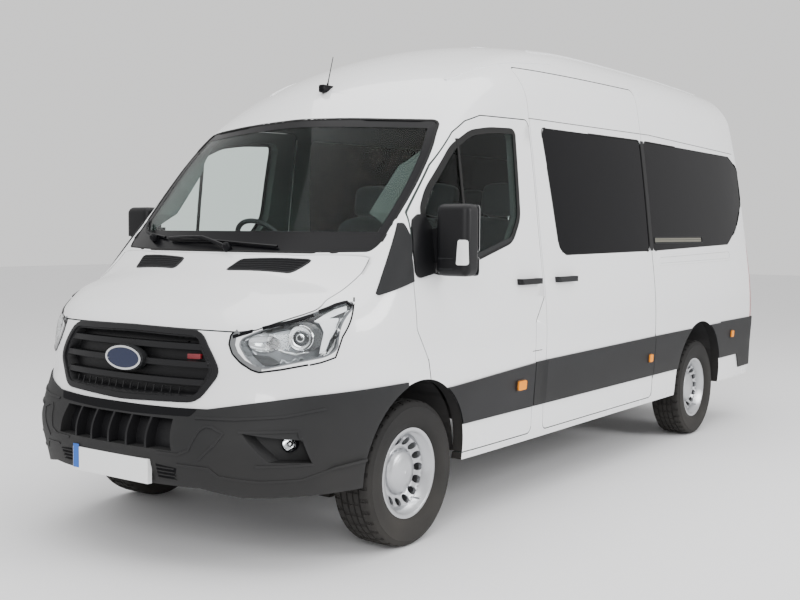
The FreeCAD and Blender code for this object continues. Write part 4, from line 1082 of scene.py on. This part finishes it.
@dataclass
class HeadLamps:
    """The bowls, projectors and bright strips that hang behind each clear lens.

    The lines seen from the front are given by x and z, those seen from the side from the front axle.
    """

    projector: Point = (0.836, 1.052)
    bowl: Point = (0.716, 1.030)
    rim: Line = ((0.660, 1.092), (0.640, 1.079), (0.622, 1.061), (0.618, 1.021), (0.632, 0.992), (0.655, 0.966))
    arc: Line = ((0.770, 1.004), (0.795, 0.992), (0.830, 0.984), (0.868, 0.992))
    brow: Line = ((0.580, 1.055), (0.672, 1.088), (0.781, 1.122), (0.844, 1.150))
    pit: Line = ((0.652, 0.984), (0.735, 0.977), (0.781, 0.943), (0.754, 0.932), (0.704, 0.930), (0.672, 0.950))
    shade: Line = ((0.650, 1.084), (0.760, 1.128), (0.862, 1.160), (0.856, 1.132), (0.760, 1.100), (0.680, 1.070))
    border: Line = ((0.600, 1.080), (0.584, 1.060), (0.586, 1.020), (0.606, 0.982), (0.640, 0.946), (0.690, 0.918),
                    (0.715, 0.916))
    edge: Line = ((0.578, 1.078), (0.569, 1.060), (0.571, 1.023), (0.592, 0.982), (0.625, 0.949), (0.674, 0.915),
                  (0.705, 0.904), (0.789, 0.918), (0.868, 0.937))
    strip: Line = ((-0.575, 1.122), (-0.548, 1.142), (-0.492, 1.142), (-0.506, 1.110), (-0.553, 1.043),
                   (-0.580, 0.984), (-0.600, 0.984), (-0.588, 1.031), (-0.572, 1.081))
    band: Line = ((-0.590, 1.130), (-0.541, 1.157), (-0.487, 1.180), (-0.425, 1.194), (-0.440, 1.172),
                  (-0.495, 1.155), (-0.551, 1.134), (-0.575, 1.122))
    wedge: Line = ((-0.484, 1.112), (-0.474, 1.094), (-0.530, 1.020), (-0.556, 0.984), (-0.572, 0.990),
                   (-0.540, 1.050))
    far_rim: Line = ((-0.655, 0.944), (-0.627, 0.948), (-0.585, 0.962), (-0.552, 0.976), (-0.520, 1.054),
                     (-0.463, 1.133), (-0.392, 1.200))
    far_brow: Line = ((-0.560, 1.168), (-0.480, 1.196), (-0.388, 1.216))
    far_edge: Line = ((-0.640, 0.936), (-0.600, 0.945), (-0.540, 0.965), (-0.502, 1.054), (-0.444, 1.133),
                      (-0.378, 1.222))

    def build(self, frame: dict) -> None:
        """Make the inside of both lamps, and the lines round them."""
        for side in Side:
            around = Skin.of(frame, "headlamp_lenses headlamps front_panel fenders", side=side)
            around.rib("lamp_border_{}", self.border, BORDER, 0.026, 0.0016, step=FINE_STEP)
            around.rib("lamp_edge_{}", self.edge, LAMP_BLACK, 0.008, 0.0028, step=FINE_STEP)
            around.rib("lamp_brow_{}", self.brow, LAMP_BLACK, 0.016, 0.0032, step=FINE_STEP)
            replace(around, view=side.view).rib("lamp_far_edge_{}", aft(self.far_edge), LAMP_BLACK, 0.007, 0.0028,
                                                step=FINE_STEP)
            lens = Skin.of(frame, "headlamp_lenses", side=side)
            self.projector_unit(lens, side)
            self.bowl_unit(lens, side)
            lens.rib("lamp_rim_{}", self.rim, REFLECTOR, 0.018, 0.010, step=FINE_STEP, lift=-0.020)
            lens.rib("lamp_arc_{}", self.arc, CHROME, 0.009, 0.012, step=FINE_STEP, lift=-0.030)
            lens.patch("lamp_pit_{}", [self.pit], HOUSING, -0.034, step=0.02)
            lens.patch("lamp_shade_{}", [self.shade], HOUSING, -0.030, step=0.02)
            flank = replace(lens, view=side.view)
            for name, loop, look, lift in (
                    ("strip", self.strip, LIGHT, -0.014), ("band", self.band, LIGHT, -0.012),
                    ("wedge", self.wedge, HOUSING, -0.020)):
                flank.patch(f"lamp_{name}_{{}}", [aft(loop)], look, lift, step=0.02)
            flank.rib("lamp_far_rim_{}", aft(self.far_rim), REFLECTOR, 0.010, 0.008, step=FINE_STEP, lift=-0.014)
            flank.rib("lamp_far_brow_{}", aft(self.far_brow), LAMP_BLACK, 0.014, 0.0055, step=FINE_STEP,
                      lift=-0.004)

    def seat(self, lens: Skin, place: Point, depth: float) -> Matrix:
        """A place behind the lens, along the eye's line.

        Args:
            lens: the lens' skin.
            place: its x and z on the lens.
            depth: how far behind the lens it lies.

        Returns:
            The place of an axis that faces forwards and a little outwards.
        """
        sign = lens.side.value
        at, normal = lens.drop(place[0] * sign, place[1])
        inwards = Vector((-0.56 * sign, 0.82, -0.05)).normalized()
        return aimed(at + inwards * depth, (normal + Vector((0.35 * sign, -1.2, 0.0))).normalized())

    def projector_unit(self, lens: Skin, side: Side) -> None:
        """A dark oval field, bright rings and a dark eye."""
        x, z = self.projector
        oval = self.seat(lens, (x + 0.006, z + 0.004), 0.041) @ Matrix.Diagonal((0.084, 0.068, 1.0, 1.0))
        spun(f"projector_field_{side.word}", HOUSING, oval, [(1.0, 0.0), (1.0, 0.004), (0.0, 0.006)], 40)
        place = self.seat(lens, self.projector, 0.034)
        shape = bmesh.new()
        turned(shape, [(0.056, 0.0), (0.057, 0.012), (0.054, 0.015), (0.049, 0.011), (0.042, 0.007),
                       (0.036, 0.006)], place, 40)
        turned(shape, [(0.019, 0.020), (0.018, 0.0255), (0.014, 0.026), (0.013, 0.022)], place)
        finish_mesh(f"projector_rings_{side.word}", shape, CHROME)
        spun(f"projector_eye_{side.word}", EYE, place,
             [(0.037, 0.006), (0.034, 0.014), (0.026, 0.020), (0.014, 0.0235), (0.0, 0.0245)], 40)

    def bowl_unit(self, lens: Skin, side: Side) -> None:
        """A wide bright bowl with a bulb's cap."""
        place = self.seat(lens, self.bowl, 0.040)
        spun(f"bowl_{side.word}", REFLECTOR, place @ Matrix.Diagonal((1.60, 0.92, 1.0, 1.0)),
             [(0.046, 0.020), (0.044, 0.022), (0.036, 0.010), (0.022, 0.003), (0.008, 0.000)], 40)
        spun(f"bulb_{side.word}", HOUSING, place @ Matrix.Translation((0.018 * side.value, 0.0, 0.0)),
             [(0.010, 0.0), (0.010, 0.014), (0.007, 0.020), (0.0, 0.022)], 20)


@dataclass
class Flanks:
    """The markers, the stamped field with a grey line of painted shade in its crease, the tail lamps' edges and
    the seams of both sides.
    """

    field: Line = ((0.965, 1.305), (2.400, 1.318), (2.425, 1.345), (2.400, 1.388), (0.975, 1.362))
    lamp: Line = ((2.912, 0.900), (2.975, 0.900), (2.972, 1.400), (2.918, 1.400))
    strip: Line = ((-0.837, 0.546), (-0.713, 0.546), (-0.713, 0.799), (-0.837, 0.797))

    def build(self, frame: dict) -> None:
        """Make the small pieces of both sides."""
        for side in Side:
            skin = Skin.of(frame, "side_panel_{} side_trim front_door_{} door_trim_{} fenders rear_bumper "
                           "roof_panel windscreen_frame " + side.door, side.view, side)
            self.marker(replace(skin, body="front_door_" + side.word), "front", (-1.005, 0.684), 0.086)
            self.marker(skin, "middle", (0.776, 0.673), 0.054)
            self.marker(skin, "rear", (2.403, 0.724), 0.054)
            skin.rib("stamped_field_{}", rounded_loop(self.field, 0.03, 4), WHITE, 0.016, 0.0040, True, 0.05)
            # The grey line is painted shade along the crease inside the stamped field's rib.
            skin.rib("stamped_line_{}", rounded_loop(grown_loop(self.field, -0.008), 0.03, 4), CREASE_SHADE, 0.003, 0.0008,
                     True, 0.05, rounded=False)
            skin.patch("tail_strip_{}", [rounded_loop(self.lamp, 0.012, 3)], TAIL, 0.003, 0.005, 0.03)
            self.seams(skin, side)
            skin.patch("pillar_strip_{}", [self.strip], DARK, 0.008, 0.009)

    def marker(self, skin: Skin, name: str, middle: Point, width: float) -> None:
        """An amber side marker on its dark foot.

        Args:
            skin: the side, with the body that the marker rides on.
            name: which marker it is.
            middle: its middle.
            width: its width.
        """
        y, z = middle
        half = width / 2
        outline = rounded_loop(rectangle((y - half, z - 0.025), (y + half, z + 0.025)), 0.010, 4)
        skin.patch(f"marker_foot_{name}_{{}}", [grown_loop(outline, 0.006)], MARKER_FOOT, 0.006, 0.008, 0.02)
        skin.patch(f"marker_{name}_{{}}", [outline], AMBER, 0.014, 0.014, 0.02)

    def seams(self, skin: Skin, side: Side) -> None:
        """The joints between fixed panels, drawn as fine dark lines."""
        lines = {"gutter_seam_{}": [(-0.72, 2.172), (1.00, 2.205), (2.70, 2.175)],
                 "rear_quarter_seam_{}": [(0.860, 1.395), (0.860, 0.40)],
                 "flap_seam_{}": aft([(1.09, 0.86), (1.20, 0.86)])}
        if side is Side.RIGHT:
            lines["right_door_seam_{}"] = [(-0.711, 0.45), (-0.711, 2.10)]
        for name, line in lines.items():
            skin.rib(name, line, SEAM_AND_OPENING_SHADE, 0.004, 0.0006, step=0.04, rounded=False)


@dataclass
class Roof:
    """The pressed ribs, the folds and the aerial."""

    fold: Line = ((0.640, -1.20), (0.700, -0.85), (0.735, -0.50), (0.745, -0.20))
    aerial_y: float = -1.447

    def build(self, frame: dict) -> None:
        """Make the roof's small pieces."""
        skin = Skin.of(frame, "roof_panel windscreen_frame", View.TOP)
        for k, x in enumerate((-0.60, -0.20, 0.20, 0.60)):
            skin.rib(f"roof_rib_{k}", [(x, -0.20), (x, 2.55)], WHITE, 0.050, 0.006, step=0.06)
        for side in Side:
            replace(skin, side=side).rib("roof_fold_{}", self.fold, WHITE, 0.020, 0.006, step=0.04)
        at, _ = skin.drop(0.0, self.aerial_y)
        shape = bmesh.new()
        block(shape, at + Vector((-0.020, -0.045, -0.010)), at + Vector((0.020, 0.055, 0.034)), 0.009, 3)
        finish_mesh("aerial_foot", shape, BLACK)
        foot, tip = at + Vector((0.0, 0.010, 0.020)), at + Vector((0.0, 0.063, 0.199))
        tube("aerial_mast", [foot.lerp(tip, t) for t in (0.0, 0.12, 0.2, 0.6, 1.0)],
             [0.007, 0.006, 0.0032, 0.0026, 0.0022], BLACK, 8)


@dataclass
class Mirrors:
    """The mirrors' glass, their clear indicators and the ridges of their shells."""

    indicator: Line = ((1.150, 1.365), (1.207, 1.365), (1.205, 1.485), (1.160, 1.485))

    def build(self, frame: dict) -> None:
        """Dress both mirrors."""
        for side in Side:
            skin = Skin.of(frame, "door_trim_{}", View.FRONT, side, "front_door_{}")
            skin.patch("mirror_indicator_{}", [rounded_loop(self.indicator, 0.010, 3)], INDICATOR, 0.004, 0.006,
                       0.02)
            for k, z in enumerate((1.395, 1.345)):
                skin.rib(f"mirror_ridge_{{}}_{k}", [(1.045, z), (1.130, z)], DARK, 0.006, 0.003)
            for name, low, high in (("main", 1.425, 1.655), ("wide", 1.310, 1.405)):
                outline = rounded_loop(rectangle((1.035, low), (1.205, high)), 0.02, 4)
                replace(skin, view=View.BACK).patch(f"mirror_glass_{name}_{{}}", [outline], CHROME, 0.002, 0.003,
                                                    0.05, True)


@dataclass
class Rear:
    """The rear doors' handle, hinges and seals, and the lamps' small pieces."""

    glass: Line = ((0.113, 1.455), (0.782, 1.455), (0.741, 2.086), (0.113, 2.086))

    def build(self, frame: dict) -> None:
        """Make the rear's small pieces."""
        whole = Skin.of(frame, "rear_door_left rear_door_right rear_bumper tail_lamps side_panel_left "
                        "side_panel_right roof_panel rear_door_window_left rear_door_window_right", View.BACK)
        for side in Side:
            door = replace(whole, side=side, body="rear_door_" + side.word)
            door.rib("rear_glass_seal_{}", rounded_loop(self.glass, 0.05), RUBBER, 0.020, 0.003, True, 0.04)
            for k, (x, z) in enumerate(((0.880, 0.86), (0.880, 1.37), (0.815, 2.24))):
                outline = rounded_loop(rectangle((x - 0.055, z - 0.030), (x, z + 0.030)), 0.01, 3)
                door.patch(f"hinge_{{}}_{k}", [outline], WHITE, 0.012, 0.014, 0.03)
            for k, z in enumerate((0.95, 1.12, 1.28)):
                replace(whole, side=side).rib(f"tail_lamp_bar_{{}}_{k}", [(0.915, z), (0.975, z)],
                                              replace(CHROME, slot="lamp_red"), 0.006, 0.003)
        grip = rounded_loop(rectangle((0.03, 1.235), (0.23, 1.275)), 0.012, 4)
        replace(whole, body="rear_door_left").patch("rear_handle", [grip], DARK, 0.030, 0.034)
        brow = rounded_loop(rectangle((-0.15, 2.470), (0.15, 2.495)), 0.008, 4)
        whole.patch("high_brake_light", [brow], RED, 0.010, 0.012)


@dataclass
class Cabin:
    """The dashboard's vents and the hood over its dials."""

    def build(self, frame: dict) -> None:
        """Make the cabin's small pieces."""
        skin = Skin.of(frame, "dashboard", View.TOP)
        shape = bmesh.new()
        for x in (-0.78, -0.16, 0.10, 0.78):
            at, _ = skin.drop(x, -1.62)
            block(shape, at - Vector((0.07, 0.03, 0.01)), at + Vector((0.07, 0.03, 0.006)), 0.006)
        finish_mesh("dash_vents", shape, replace(BLACK, slot="cabin_plastic"))
        shape = bmesh.new()
        block(shape, (-0.66, -1.75, 1.375), (-0.20, -1.56, 1.440), 0.030, 3)
        finish_mesh("dial_hood", shape, CABIN)


@dataclass
class Studio:
    """The pale floor, the soft lights and the camera at the photograph's place."""

    position: Triple = (3.973, -6.2455, 1.522)
    yaw: float = 35.716
    pitch: float = 3.575
    roll: float = 0.370
    lens: float = 49.207
    floor_reach: float = 35.0

    def build(self, _: dict) -> None:
        """Make the floor, the lights and the camera."""
        shape = bmesh.new()
        bmesh.ops.create_grid(shape, x_segments=2, y_segments=2, size=self.floor_reach)
        linked("studio_floor", shape, FLOOR)
        self.lights()
        self.camera()

    def lights(self) -> None:
        """Soft lamps above and to the sides, and an even pale surrounding."""
        world = bpy.data.worlds.new("studio")
        bpy.context.scene.world = world
        world.use_nodes = True
        feed(world.node_tree.nodes["Background"], {"Color": (0.80, 0.795, 0.79, 1.0), "Strength": 1.30})
        for name, place, aim, size, power in (
                ("top", (0.5, -1.0, 7.5), (0, 0, 0.5), 9.0, 520.0),
                ("front", (5.0, -9.5, 4.5), (0.2, -1.5, 1.0), 4.0, 420.0),
                ("side", (8.5, 1.5, 4.0), (0.5, 0.5, 1.0), 4.0, 420.0)):
            data = bpy.data.lights.new(name, "AREA")
            data.shape = "SQUARE"
            data.size = size
            data.energy = power
            lamp = bpy.data.objects.new(name, data)
            lamp.location = place
            lamp.rotation_euler = (Vector(aim) - Vector(place)).to_track_quat("-Z", "Y").to_euler()
            bpy.context.scene.collection.objects.link(lamp)

    def camera(self) -> None:
        """The camera, turned by its yaw, pitch and roll."""
        data = bpy.data.cameras.new("view")
        data.sensor_width = 36.0
        data.lens = self.lens
        camera = bpy.data.objects.new("view", data)
        yaw, pitch, roll = (math.radians(a) for a in (self.yaw, self.pitch, self.roll))
        ahead = Vector((-math.sin(yaw) * math.cos(pitch), math.cos(yaw) * math.cos(pitch), -math.sin(pitch)))
        right = Vector((math.cos(yaw), math.sin(yaw), 0.0))
        above = right.cross(ahead)
        turned_right = right * math.cos(roll) + above * math.sin(roll)
        turned_above = above * math.cos(roll) - right * math.sin(roll)
        turn = Matrix((turned_right, turned_above, -ahead)).transposed().to_4x4()
        camera.matrix_world = Matrix.Translation(self.position) @ turn
        bpy.context.scene.collection.objects.link(camera)
        bpy.context.scene.camera = camera


def main() -> None:
    """Load the frame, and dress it."""
    logging.basicConfig(level=logging.INFO, format="%(message)s")
    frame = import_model()
    for group in (CadSkins, Wheels, Seats, Screen, SideGlass, Nose, Bumper, HeadLamps, Flanks, Roof, Mirrors, Rear,
                  Cabin, Studio):
        group().build(frame)


if __name__ == "__main__":
    main()
